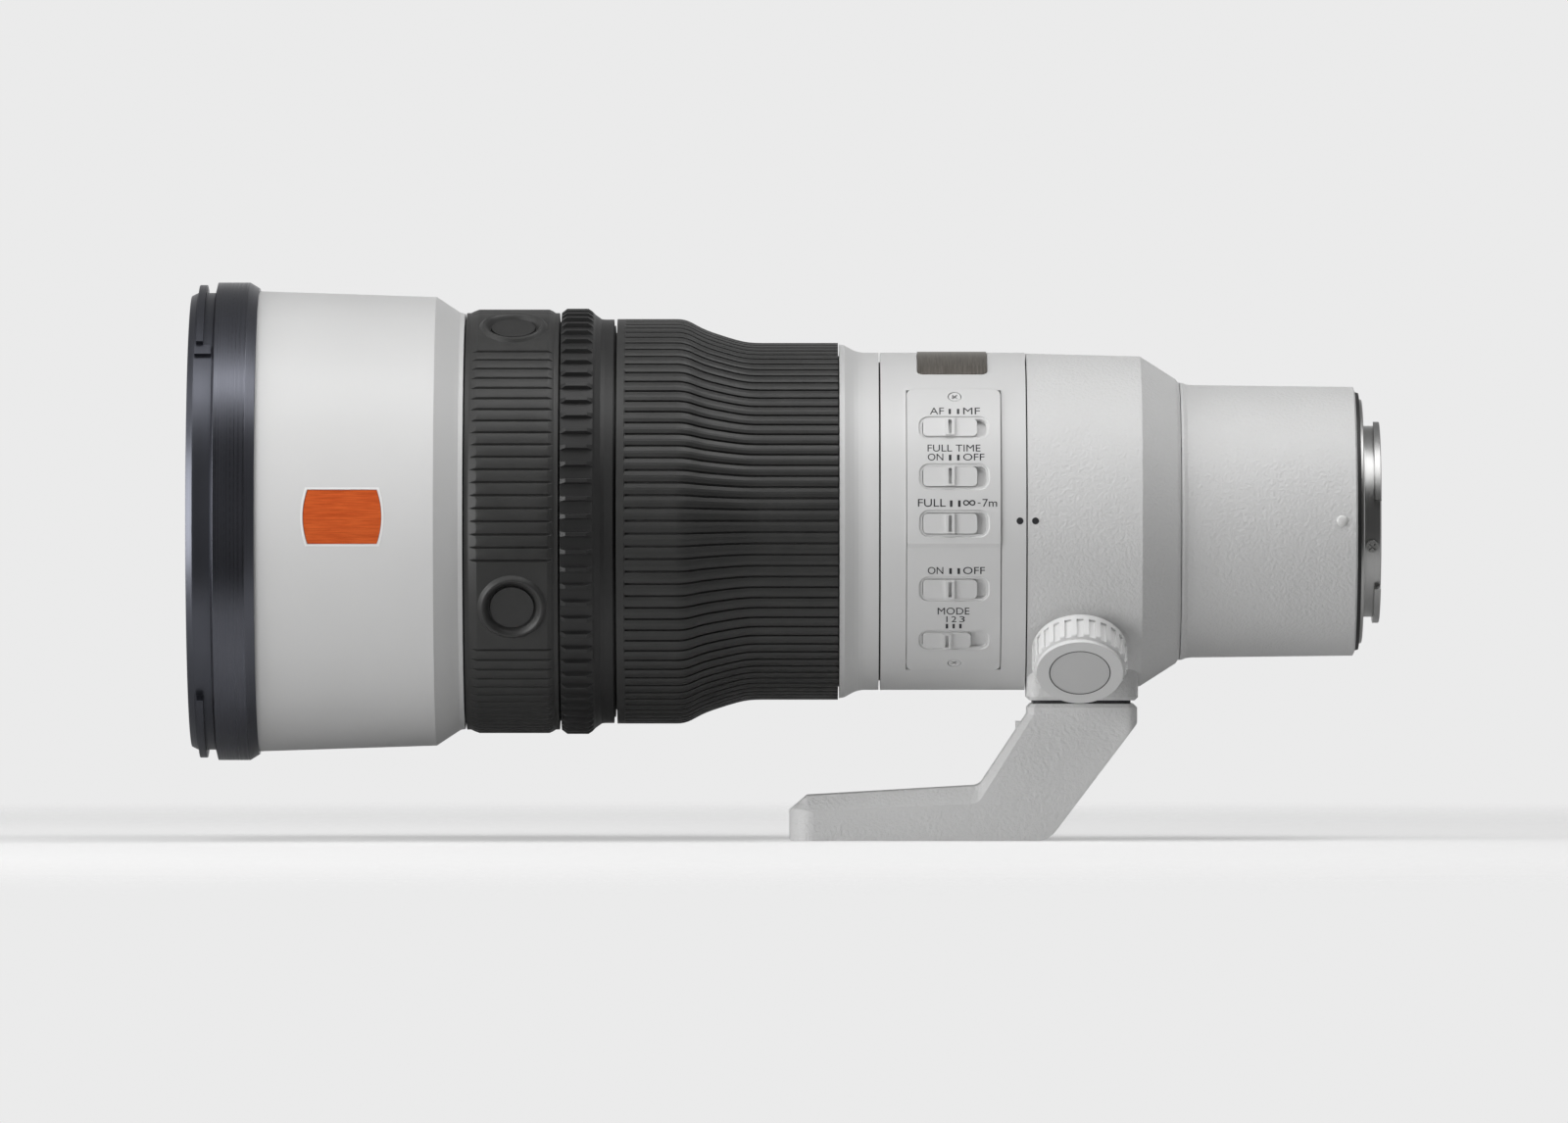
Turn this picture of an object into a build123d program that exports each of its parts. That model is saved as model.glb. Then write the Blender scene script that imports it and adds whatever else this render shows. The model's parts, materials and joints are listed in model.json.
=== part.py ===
from build123d import *
import os
from math import asin, cos, degrees, radians, sin, sqrt

# A super telephoto lens. The optical axis is X, with the camera's flange at 0 and the front at minus X.
# Up is plus Z, and the side with the switches faces minus Y. Lengths are in millimetres.
# Angles round the barrel start at the switch side and grow towards the top.

# Stations along the axis
RIM_X = -281.4
LUG_X = (-279.4, -277.7)
STOP_BLOCK_X = (-279.8, -275.8)
FRONT_RING_X = (-275.6, -265.1)
RIM_SEAT_X = -270.2
FRONT_BARREL_X = (-265.1, -215.6)
SHOULDER_X = (-222.5, -217.5)
BAND_X = (-215.2, -192.9)
FUNCTION_X = (-192.4, -179.8)
FOCUS_X = (-179.0, -126.0)
STEP_X = (-125.7, -116.25)
SWITCH_X = (-115.85, -81.1)
COLLAR_X = (-80.8, -43.95)
REAR_X = (-43.8, -1.7)
FLANGE_X = 0.0
BAYONET_X = 4.2

# Outer radii
RIM_R = 55.0
LUG_R = 56.9
FRONT_RING_R = 57.5
FRONT_BARREL_R = (55.4, 54.0)
FRONT_BARREL_END_R = 50.0
BAND_R = 51.0
FUNCTION_R = 51.2
FUNCTION_END_R = 48.6
FOCUS_R = (48.7, 42.95)
STEP_R = 42.6
SWITCH_R = 40.6
COLLAR_R = (40.4, 39.7)
COLLAR_END_R = 33.4
REAR_R = (32.8, 32.35)
SEAL_R = 31.15
FLANGE_R = 29.4
THROAT_R = 23.0
BAYONET_LUG_R = 24.45

# Clearances
RUN = 0.3
SEAT = 0.05

# Front glass and its cell
CELL_R = 53.55
CELL_REAR_R = 51.4
FRONT_GLASS_X = (-273.0, -263.46, -259.25, -257.5)
FRONT_GLASS_R = 52.65
SECOND_GLASS_X = (-244.0, -246.5, -240.1, -241.4)
SECOND_GLASS_R = 48.0
CELL_X = (-270.1, -259.0, -249.0, -236.0)
RETAINER_X = (-270.0, -264.1)
RETAINER_BORE_R = 51.2
RIM_BORE_R = 52.9

# Inner barrel, under the rings
INNER_X = (-224.0, -192.65, -179.4, -168.5, -158.5)
INNER_R = (48.4, 48.1, 47.1, 45.4, 39.8, 38.3)
INNER_T = 2.0
ROD_WEB_X = (-192.0, -190.0)
ROD_WEB_R = 31.0
GRIP_T = 1.5
GROOVE_START_X = -176.9
GROOVE_W = 0.55
GROOVE_DEPTH = 0.7
CORE_T = 1.3

STOP_BLOCK_ANGLES = (49.0, 45.6)

# Counts round the barrel
HOLD_BUTTONS = 4
FUNCTION_TEETH = 75
GRIP_RIBS = 100
KNOB_FLUTES = 24
IRIS_BLADES = 7
CONTACTS = 10

# Focus hold buttons
BUTTON_X = -203.8
BUTTON_ANGLE = -24.0
BUTTON_R = 5.2
BUTTON_FLANGE_R = 6.2
BUTTON_SEAT_R = 47.4
BUTTON_BACK_R = 48.2
BUTTON_FLANGE_T = 1.0
BUTTON_CAP_T = 1.5

# Function ring: its raised teeth stand on a floor
TOOTH_FLOOR_R = 50.15
TOOTH_GAP_W = (2.86, 3.44)

# Switch panel: its ends and its fold are angles round the barrel
PANEL_X = (-109.6, -87.2)
PANEL_TOP = 50.4
PANEL_FOLD = -8.9
PANEL_FOLD_SLOPE = 1.3
PANEL_GAP = 0.15
PANEL_BOTTOM = -61.3
PANEL_R = (41.1, 40.75)
PANEL_SEAT_R = 38.95
PANEL_SCREW_X = -98.15
PANEL_SCREW_ANGLES = (46.4, -56.7)
PANEL_SCREW_R = 1.45
PANEL_SCREW_BACK_R = 39.6
PANEL_SCREW_GAP = 0.18
CORNER_R = 2.2

# Slide switches: each pocket has a low wall, a ledge and a slot that the slider nearly fills.
# Each row is a name, an angle and a travel.
POCKET_X = -98.3
POCKET_L, POCKET_W = 17.0, 6.9
POCKET_CORNER_R, SLOT_CORNER_R, SLIDER_CORNER_R = 2.6, 1.4, 1.1
POCKET_WALL, POCKET_DEPTH = 0.3, 0.4
SLOT_L, SLOT_W = 15.2, 5.1
POCKET_FLOOR_R = 39.6
SLIDER_L = 12.9
SLIDER_START_X = -105.75
SLIDERS = (
    ("focus_mode_slider", 33.0, 2.0),
    ("full_time_slider", 15.0, 2.0),
    ("range_slider", -0.9, 2.0),
    ("stabiliser_slider", -23.6, 2.0),
    ("mode_slider", -44.5, 3.3),
)
SLIDER_W = 4.8
MODE_SLIDER_L = 11.5
RIDGE_W, RIDGE_H = 2.2, 0.5
RIDGE_GROOVE_W, RIDGE_GROOVE_DEPTH = 0.75, 1.1
STEM_X = SLIDER_START_X + SLIDER_L / 2
STEM_L, STEM_W = 3.0, 2.4
STEM_BACK_R = 38.2

# Plates let into the barrels
BADGE_X = (-253.5, -234.7)
BADGE_ANGLE = 1.0
BADGE_HALF_H = 6.5
BADGE_BULGE = 1.1
BADGE_GAP = 0.12
NAME_X = (-107.1, -90.2)
NAME_ANGLES = (60.0, 120.0)
NAME_CORNER_R = 1.6
PLATE_RECESS = 0.5

# Tripod collar, knob and foot
COLLAR_CONE_X = (-53.3, -44.7)
COLLAR_BORE_X = (-56.9, -50.0)
COLLAR_BORE_R = (37.4, 32.2)
SLEEVE_X = (-84.0, -57.2, -50.4, -43.9)
SLEEVE_R = (37.1, 31.9)
SLEEVE_T = 2.0
BOSS_X = (-80.7, -54.0)
BOSS_Z = -43.0
HALF_WIDTH = 18.0
KNOB_X = -68.3
KNOB_ANGLE = -45.0
KNOB_BACK = 41.9
KNOB_L = 9.4
KNOB_R = 11.4
KNOB_FLUTE_L = (2.5, 8.3)
KNOB_SHOULDER_R = 10.35
KNOB_FACE_R = 9.75
KNOB_CAP_R = 7.3
KNOB_PAD_R = 7.2
KNOB_SEAT = 36.0
STUD_R = 3.0
STUD_FROM, STUD_L = 39.4, 7.0
SHOE_R = 4.0
SHOE_FROM, SHOE_T = 37.5, 1.6
SHOE_POCKET_DEPTH = 3.4
FOOT_TOP_Z = -43.8
RISER_X = (-78.9, -56.1)
FOOT_BOTTOM_Z = -76.7
FOOT_SCREW_X = (-72.0, -61.0)
FOOT_SCREW_Y = 10.0
FOOT_SCREW_R = 2.0
FOOT_SCREW_SEAT_Z = -50.0
FOOT_SCREW_HEAD_R, FOOT_SCREW_HEAD_H = 3.2, 2.2
FOOT_SCREWS = [(x, y) for x in FOOT_SCREW_X for y in (-FOOT_SCREW_Y, FOOT_SCREW_Y)]
NOSE_X, HEEL_X = -137.7, -54.2
BEVEL_START = 14.4
FOOT_MIDDLE = ((-80.5, FOOT_TOP_Z), (-80.5, -46.3), (-91.95, -63.55), (-133.5, -65.95), (NOSE_X, -69.6),
               (NOSE_X, FOOT_BOTTOM_Z), (-75.56, FOOT_BOTTOM_Z), (HEEL_X, -48.5), (HEEL_X, FOOT_TOP_Z))
FOOT_SIDE = ((-79.0, FOOT_TOP_Z), (-79.0, -46.4), (-92.4, -67.7), (-133.2, -69.7), (NOSE_X, -70.0),
             (NOSE_X, FOOT_BOTTOM_Z), (-75.56, FOOT_BOTTOM_Z), (HEEL_X, -48.5), (HEEL_X, FOOT_TOP_Z))
FOOT_ROUNDS = (1.0, 3.0, 1.0, 0.2, 0.6, 6.0, 2.0)
WEDGE_LUG = ((-79.5, -48.1), (-83.2, -48.1), (-83.2, -51.6), (-85.5, -54.0), (-83.0, -54.0))
SMALL_THREAD_X, SMALL_THREAD_R = -124.0, 2.55
LARGE_THREAD_X, LARGE_THREAD_R = -106.0, 3.97
THREAD_DEPTH = 8.0

# Mount
MOUNT_SCREW_ANGLES = (60.0, 150.0, 240.0, 330.0)
MOUNT_SCREW_AT_R = 26.2
MOUNT_SCREW_R, MOUNT_HEAD_R = 0.9, 1.65
MOUNT_HEAD_X = -1.1
LOCK_HOLE_ANGLE = 180.0
STOP_X, STOP_ANGLE = 2.0, -14.8
STOP_SHANK_R, STOP_HEAD_R = 0.9, 1.55
LOCK_HOLE_R = 1.5
LUG_CENTRES = (45, -75, 165)
LUG_HALF_ANGLE = 33
LUG_T = 1.55
MOUNT_BORE_R = 21.0
BAFFLE_X = -9.0
BAFFLE_T = 1.4
WINDOW = (33.0, 23.0)
CONTACT_X = 2.0
CONTACT_R = 17.6
PIN_R, PIN_L = 0.6, 0.5
CONTACT_TOP, CONTACT_BOTTOM = -65.0, -115.0

# Iris
IRIS_X = -112.9
IRIS_REAR_X = -104.0
IRIS_R = 38.3
IRIS_WALL_R = 35.6
DRIVE_RING_R = (33.2, 25.4)
IRIS_OPEN_R = 17.9
BLADE_OUT_R = 22.5
PIVOT_R = 24.2
LEVER = 2.8
LEVER_REST = -19.0
BLADE_T = 0.18
LAYER = 0.25

# Focus and stabiliser groups
ROD_R = 1.5
ROD_AT_R = 34.0
ROD_X = (-194.0, -111.5)
ROD_ANGLES = (90, -90)
CARRIAGE_X = (-170.0, -158.0)
CARRIAGE_R = 31.5
CARRIAGE_LIP_X = -160.0
FOCUS_GLASS_X = (-168.0, -166.5, -160.1, -163.0)
FOCUS_GLASS_R = 28.0
FRAME_X = (-99.8, -97.3)
FRAME_R = (33.0, 24.0)
WEB_X = (-97.0, -95.5)
WEB_R = 25.0
BOARD_R = (37.4, 25.5)
BOARD_T = 1.4
STABILISER_X = (-101.5, -97.5, -96.5)
STABILISER_R = (22.5, 18.5)
STABILISER_GLASS_X = (-100.2, -101.3, -97.6, -98.6)
REAR_GLASS_X = (-38.6, -37.6, -34.4, -32.6)
REAR_GLASS_R = 21.0
LIP = 1.5

os.makedirs("parts", exist_ok=True)


def write(piece, name):
    """Label a finished piece and write its file."""
    piece.part.label = name
    export_step(piece.part, f"parts/{name}.step")


def turned(*outline, mode=Mode.ADD):
    """Turn an outline of (x, radius) points about the optical axis."""
    with BuildSketch(Plane.XY) as section:
        with BuildLine():
            Polyline(*outline, close=True)
        make_face()
    revolve(section.sketch, axis=Axis.X, mode=mode)


def sector(top, bottom, *outline, mode=Mode.ADD):
    """Turn an outline of (x, radius) points through the angles from top down to bottom."""
    normal = (0, -sin(radians(top)), -cos(radians(top)))
    with BuildSketch(Plane((0, 0, 0), x_dir=(1, 0, 0), z_dir=normal)) as section:
        with BuildLine():
            Polyline(*outline, close=True)
        make_face()
    revolve(section.sketch, axis=Axis.X, revolution_arc=top - bottom, mode=mode)


def facing(angle, radius, x=0.0):
    """The plane square to a radius at this angle, this far out from the axis."""
    outward = Vector(0, -cos(radians(angle)), sin(radians(angle)))
    return Plane(origin=Vector(x, 0, 0) + outward * radius, x_dir=(1, 0, 0), z_dir=outward)


def across(x):
    """The plane square to the optical axis at this station, facing the camera."""
    return Plane((x, 0, 0), x_dir=(0, 1, 0), z_dir=(1, 0, 0))


def lens_element(front_x, edge_x, back_x, rear_x, radius):
    """Turn a glass disc whose faces curve from the axis points to the rim points."""
    with BuildSketch(Plane.XY) as section:
        with BuildLine():
            bend(front_x, edge_x, radius)
            Line((edge_x, radius), (back_x, radius))
            bend(rear_x, back_x, radius)
            Line((front_x, 0), (rear_x, 0))
        make_face()
    revolve(section.sketch, axis=Axis.X)


def bend(vertex_x, edge_x, radius):
    """Draw one glass surface: the arc of a sphere centred on the axis."""
    sag = edge_x - vertex_x
    curve = (sag * sag + radius * radius) / (2 * sag)
    middle = radius / 2
    lift = curve - (1 if curve > 0 else -1) * sqrt(curve * curve - middle * middle)
    ThreePointArc((vertex_x, 0), (vertex_x + lift, middle), (edge_x, radius))


def barrel_radius(x):
    """The outer radius of the front barrel at this station."""
    share = (x - FRONT_BARREL_X[0]) / (SHOULDER_X[0] - FRONT_BARREL_X[0])
    return FRONT_BARREL_R[0] + share * (FRONT_BARREL_R[1] - FRONT_BARREL_R[0])


def badge_outline(gap):
    """Draw the badge seen square on, drawn in by this gap: straight above and below, bulging ends."""
    half_length, half_height = (BADGE_X[1] - BADGE_X[0]) / 2 - gap, BADGE_HALF_H - gap
    corner = half_length - BADGE_BULGE
    with BuildLine() as line:
        ThreePointArc((corner, -half_height), (half_length, 0), (corner, half_height))
        Line((corner, half_height), (-corner, half_height))
        ThreePointArc((-corner, half_height), (-half_length, 0), (-corner, -half_height))
        Line((-corner, -half_height), (corner, -half_height))
    make_face(line.edges())


def barrel_skin(deep, shallow):
    """Keep only what lies between these two depths below the front barrel's surface, round the badge."""
    ends = (BADGE_X[0] - 1.0, BADGE_X[1] + 1.0)
    turned((ends[0], barrel_radius(ends[0]) - deep), (ends[1], barrel_radius(ends[1]) - deep),
           (ends[1], barrel_radius(ends[1]) - shallow), (ends[0], barrel_radius(ends[0]) - shallow),
           mode=Mode.INTERSECT)


def round_axis(angle, radius):
    """The place at this angle and radius on a plane square to the axis."""
    return (-radius * cos(radians(angle)), radius * sin(radians(angle)))


def turned_point(radius, angle):
    """The place at this radius and angle on a flat sketch."""
    return (radius * cos(radians(angle)), radius * sin(radians(angle)))


def foot_outline(corners):
    """Draw the foot seen from the side, with its corners rounded."""
    with BuildLine() as line:
        FilletPolyline(*corners, radius=FOOT_ROUNDS)
        Line(line.line @ 1, line.line @ 0)
    make_face(line.edges())


def grip_line(drop, start_x, end_x):
    """Draw the long curve of the focus grip, lowered by this much."""
    large, small = FOCUS_R[0] - drop, FOCUS_R[1] - drop
    Line((start_x, large), (-164.6, large))
    Spline((-164.6, large), (-159.2, large - 1.9), (-153.7, large - 4.0),
           (-148.4, small + 0.3), (-142.0, small), tangents=[(1, 0), (1, 0)])
    Line((-142.0, small), (end_x, small))


def grip_shell(outer_drop, inner_drop, start_x, end_x):
    """Turn the shell between two lowered copies of the grip's curve."""
    with BuildSketch(Plane.XY) as section:
        with BuildLine():
            grip_line(outer_drop, start_x, end_x)
            Line((end_x, FOCUS_R[1] - outer_drop), (end_x, FOCUS_R[1] - inner_drop))
            grip_line(inner_drop, start_x, end_x)
            Line((start_x, FOCUS_R[0] - inner_drop), (start_x, FOCUS_R[0] - outer_drop))
        make_face()
    revolve(section.sketch, axis=Axis.X)


# Front end
with BuildPart() as hood_bayonet_ring:
    turned((RIM_X, RIM_R - 0.75), (RIM_X + 1.5, RIM_R), (RIM_SEAT_X, RIM_R), (RIM_SEAT_X, RIM_BORE_R),
           (RIM_X + 1.2, RIM_BORE_R), (RIM_X, RIM_BORE_R + 0.7))
    for lug_centre in (90, -90):
        sector(lug_centre + 41, lug_centre - 41, (LUG_X[0], RIM_R - 0.2), (LUG_X[0], LUG_R),
               (LUG_X[1], LUG_R), (LUG_X[1], RIM_R - 0.2))
    sector(*STOP_BLOCK_ANGLES, (STOP_BLOCK_X[0], RIM_R - 0.2), (STOP_BLOCK_X[0], RIM_R + 0.9),
           (STOP_BLOCK_X[1], RIM_R + 0.9), (STOP_BLOCK_X[1], RIM_R - 0.2))
write(hood_bayonet_ring, "hood_bayonet_ring")

with BuildPart() as front_ring:
    turned((FRONT_RING_X[0], RIM_R + SEAT), (FRONT_RING_X[0] + 0.6, FRONT_RING_R), (-267.4, FRONT_RING_R),
           (FRONT_RING_X[1], 56.1), (FRONT_RING_X[1], CELL_R + SEAT), (RIM_SEAT_X, CELL_R + SEAT),
           (RIM_SEAT_X, RIM_R + SEAT))
write(front_ring, "front_ring")

with BuildPart() as badge_recess:
    with BuildSketch(facing(BADGE_ANGLE, FRONT_BARREL_END_R, sum(BADGE_X) / 2)):
        badge_outline(0)
    extrude(amount=8.0)
    barrel_skin(PLATE_RECESS, -1.0)

with BuildPart() as front_barrel:
    turned((FRONT_BARREL_X[0], FRONT_BARREL_R[0]), (SHOULDER_X[0], FRONT_BARREL_R[1]),
           (SHOULDER_X[1], FRONT_BARREL_END_R + 0.7), (-216.7, FRONT_BARREL_END_R + 0.2),
           (FRONT_BARREL_X[1], FRONT_BARREL_END_R), (FRONT_BARREL_X[1], INNER_R[0] + SEAT),
           (INNER_X[0], INNER_R[0] + SEAT), (CELL_X[3], CELL_REAR_R + 0.1), (CELL_X[2], CELL_REAR_R + 0.1),
           (CELL_X[2], CELL_R + SEAT), (FRONT_BARREL_X[0], CELL_R + SEAT))
    add(badge_recess.part, mode=Mode.SUBTRACT)
write(front_barrel, "front_barrel")

with BuildPart() as badge_plate:
    with BuildSketch(facing(BADGE_ANGLE, FRONT_BARREL_END_R, sum(BADGE_X) / 2)):
        badge_outline(BADGE_GAP)
    extrude(amount=8.0)
    barrel_skin(PLATE_RECESS, 0.1)
write(badge_plate, "badge_plate")

with BuildPart() as front_cell:
    turned((CELL_X[0], CELL_R), (CELL_X[2], CELL_R), (CELL_X[2], CELL_REAR_R), (CELL_X[3], CELL_REAR_R),
           (CELL_X[3], SECOND_GLASS_R - LIP), (CELL_X[3] - 4.0, SECOND_GLASS_R - LIP),
           (CELL_X[3] - 4.0, SECOND_GLASS_R + SEAT), (CELL_X[3] - 11.0, SECOND_GLASS_R + SEAT),
           (CELL_X[2] - 1.0, CELL_REAR_R - 0.9), (CELL_X[1], CELL_REAR_R - 0.9),
           (CELL_X[1], FRONT_GLASS_R + SEAT), (CELL_X[0], FRONT_GLASS_R + SEAT))
write(front_cell, "front_cell")

with BuildPart() as front_element:
    lens_element(*FRONT_GLASS_X, FRONT_GLASS_R)
write(front_element, "front_element")

with BuildPart() as front_retainer:
    turned((RETAINER_X[0], FRONT_GLASS_R), (RETAINER_X[1], FRONT_GLASS_R), (RETAINER_X[1], RETAINER_BORE_R),
           (RETAINER_X[0] + 1.4, RETAINER_BORE_R), (RETAINER_X[0], RETAINER_BORE_R + 0.7))
write(front_retainer, "front_retainer")

with BuildPart() as second_element:
    lens_element(*SECOND_GLASS_X, SECOND_GLASS_R)
write(second_element, "second_element")

# Inner barrel and the band with the hold buttons
button_angles = [BUTTON_ANGLE + i * 360 / HOLD_BUTTONS for i in range(HOLD_BUTTONS)]

with BuildPart() as inner_barrel:
    turned((INNER_X[0], INNER_R[0]), (BAND_X[0] - SEAT, INNER_R[0]), (BAND_X[0] - SEAT, INNER_R[1]),
           (INNER_X[1], INNER_R[1]), (INNER_X[1], INNER_R[2]), (INNER_X[2], INNER_R[2]),
           (INNER_X[2], INNER_R[3]), (INNER_X[3], INNER_R[3]), (INNER_X[4], INNER_R[4]),
           (STEP_X[0] - SEAT, INNER_R[4]),
           (STEP_X[0] - SEAT, INNER_R[5]), (IRIS_X - SEAT, INNER_R[5]), (IRIS_X - SEAT, INNER_R[5] - INNER_T),
           (STEP_X[0] - 0.8, INNER_R[5] - INNER_T), (STEP_X[0] - 1.8, INNER_R[4] - INNER_T),
           (INNER_X[4] + 0.5, INNER_R[4] - INNER_T), (INNER_X[3] + 0.5, INNER_R[3] - INNER_T),
           (ROD_WEB_X[1], INNER_R[3] - INNER_T), (ROD_WEB_X[1], ROD_WEB_R), (ROD_WEB_X[0], ROD_WEB_R),
           (ROD_WEB_X[0], INNER_R[1] - INNER_T), (INNER_X[0], INNER_R[1] - INNER_T))
    for angle in button_angles:
        with BuildSketch(facing(angle, BUTTON_SEAT_R, BUTTON_X)):
            Circle(BUTTON_FLANGE_R + 0.4)
        extrude(amount=2.0, mode=Mode.SUBTRACT)
    for angle in ROD_ANGLES:
        with BuildSketch(across(-195.0)):
            with Locations((0, ROD_AT_R * sin(radians(angle)))):
                Circle(ROD_R)
        extrude(amount=10.0, mode=Mode.SUBTRACT)
write(inner_barrel, "inner_barrel")

with BuildPart() as button_band:
    turned((BAND_X[0], BAND_R - 0.8), (-214.0, BAND_R - 0.8), (-212.2, BAND_R), (-195.5, BAND_R),
           (-194.1, BAND_R - 0.85), (BAND_X[1], BAND_R - 0.85), (BAND_X[1], INNER_R[1] + SEAT),
           (BAND_X[0], INNER_R[1] + SEAT))
    for angle in button_angles:
        with BuildSketch(facing(angle, BUTTON_SEAT_R, BUTTON_X)):
            Circle(BUTTON_R + RUN)
        extrude(amount=5.0, mode=Mode.SUBTRACT)
        with BuildSketch(facing(angle, BUTTON_SEAT_R, BUTTON_X)):
            Circle(BUTTON_FLANGE_R + RUN)
        extrude(amount=2.1, mode=Mode.SUBTRACT)
write(button_band, "button_band")

for number, angle in enumerate(button_angles, start=1):
    with BuildPart() as hold_button:
        with BuildSketch(facing(angle, BUTTON_BACK_R, BUTTON_X)):
            Circle(BUTTON_FLANGE_R)
        extrude(amount=BUTTON_FLANGE_T)
        with BuildSketch(facing(angle, BUTTON_BACK_R + BUTTON_FLANGE_T, BUTTON_X)):
            Circle(BUTTON_R)
        extrude(amount=BUTTON_CAP_T)
        fillet(hold_button.edges().sort_by(lambda e: e.center().length)[-1], radius=0.4)
    write(hold_button, f"hold_button_{number}")

# Function ring and focus ring
with BuildPart() as tooth_gap:
    with BuildSketch(across(FUNCTION_X[0] - 1.0)):
        with BuildLine():
            Polyline((-TOOTH_GAP_W[0] / 2, TOOTH_FLOOR_R), (-TOOTH_GAP_W[1] / 2, FUNCTION_R),
                     (-TOOTH_GAP_W[1] / 2, FUNCTION_R + 1.0), (TOOTH_GAP_W[1] / 2, FUNCTION_R + 1.0),
                     (TOOTH_GAP_W[1] / 2, FUNCTION_R), (TOOTH_GAP_W[0] / 2, TOOTH_FLOOR_R), close=True)
        make_face()
    extrude(amount=FUNCTION_X[1] - FUNCTION_X[0])

with BuildPart() as function_ring:
    turned((FUNCTION_X[0], FUNCTION_R - 1.0), (-191.1, FUNCTION_R), (-186.0, FUNCTION_R), (-185.1, 50.6),
           (-184.2, 49.7), (-182.8, 48.7), (-181.9, FUNCTION_END_R), (FUNCTION_X[1], FUNCTION_END_R),
           (FUNCTION_X[1], INNER_R[2] + RUN), (FUNCTION_X[0], INNER_R[2] + RUN))
    add([tooth_gap.part.rotate(Axis.X, i * 360 / FUNCTION_TEETH) for i in range(FUNCTION_TEETH)],
        mode=Mode.SUBTRACT)
write(function_ring, "function_ring")

with BuildPart() as focus_ring:
    grip_shell(GRIP_T, GRIP_T + CORE_T, FOCUS_X[0] + 0.1, FOCUS_X[1] - 0.2)
write(focus_ring, "focus_ring")

with BuildPart() as groove:
    with BuildSketch(Plane.XY):
        with BuildLine():
            grip_line(GROOVE_DEPTH, GROOVE_START_X, FOCUS_X[1] + 1.0)
            Polyline((FOCUS_X[1] + 1.0, FOCUS_R[1] - GROOVE_DEPTH), (FOCUS_X[1] + 1.0, 52.0),
                     (GROOVE_START_X, 52.0), (GROOVE_START_X, FOCUS_R[0] - GROOVE_DEPTH))
        make_face()
    extrude(amount=GROOVE_W / 2, both=True)

with BuildPart() as focus_grip:
    grip_shell(0, GRIP_T, FOCUS_X[0], FOCUS_X[1])
    add([groove.part.rotate(Axis.X, i * 360 / GRIP_RIBS) for i in range(GRIP_RIBS)], mode=Mode.SUBTRACT)
write(focus_grip, "focus_grip")

# White rings, switch barrel and switch panel
with BuildPart() as step_ring:
    turned((STEP_X[0], STEP_R), (-124.4, STEP_R - 0.25), (-123.2, SWITCH_R + 1.05), (-122.2, SWITCH_R + 0.55),
           (-121.2, SWITCH_R + 0.2), (-120.2, SWITCH_R + 0.04), (-119.4, SWITCH_R), (STEP_X[1], SWITCH_R),
           (STEP_X[1], INNER_R[5] + SEAT), (STEP_X[0], INNER_R[5] + SEAT))
write(step_ring, "step_ring")

bore_r = INNER_R[5] + SEAT


def panel_level(angle):
    """Height of the switch panel over the axis: it steps down at its fold."""
    return PANEL_R[0] if angle > PANEL_FOLD else PANEL_R[1]


with BuildPart() as name_recess:
    sector(NAME_ANGLES[1], NAME_ANGLES[0], (NAME_X[0], SWITCH_R - PLATE_RECESS),
           (NAME_X[1], SWITCH_R - PLATE_RECESS), (NAME_X[1], 42.0), (NAME_X[0], 42.0))
    fillet(name_recess.edges().filter_by(lambda e: e.length < 2.5), radius=NAME_CORNER_R)

with BuildPart() as switch_barrel:
    turned((SWITCH_X[0], SWITCH_R), (SWITCH_X[1], SWITCH_R), (SWITCH_X[1], bore_r), (WEB_X[1], bore_r),
           (WEB_X[1], WEB_R), (WEB_X[0], WEB_R), (WEB_X[0], bore_r), (SWITCH_X[0], bore_r))
    sector(PANEL_TOP + 0.1, PANEL_BOTTOM - 0.1, (PANEL_X[0] - PANEL_GAP, PANEL_SEAT_R),
           (PANEL_X[1] + PANEL_GAP, PANEL_SEAT_R), (PANEL_X[1] + PANEL_GAP, 42.0),
           (PANEL_X[0] - PANEL_GAP, 42.0), mode=Mode.SUBTRACT)
    add(name_recess.part, mode=Mode.SUBTRACT)
    for name, angle, travel in SLIDERS:
        with BuildSketch(facing(angle, 37.9, STEM_X + travel / 2)):
            Rectangle(STEM_L + travel + 0.8, STEM_W + 1.0)
        extrude(amount=2.0, mode=Mode.SUBTRACT)
write(switch_barrel, "switch_barrel")

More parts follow.
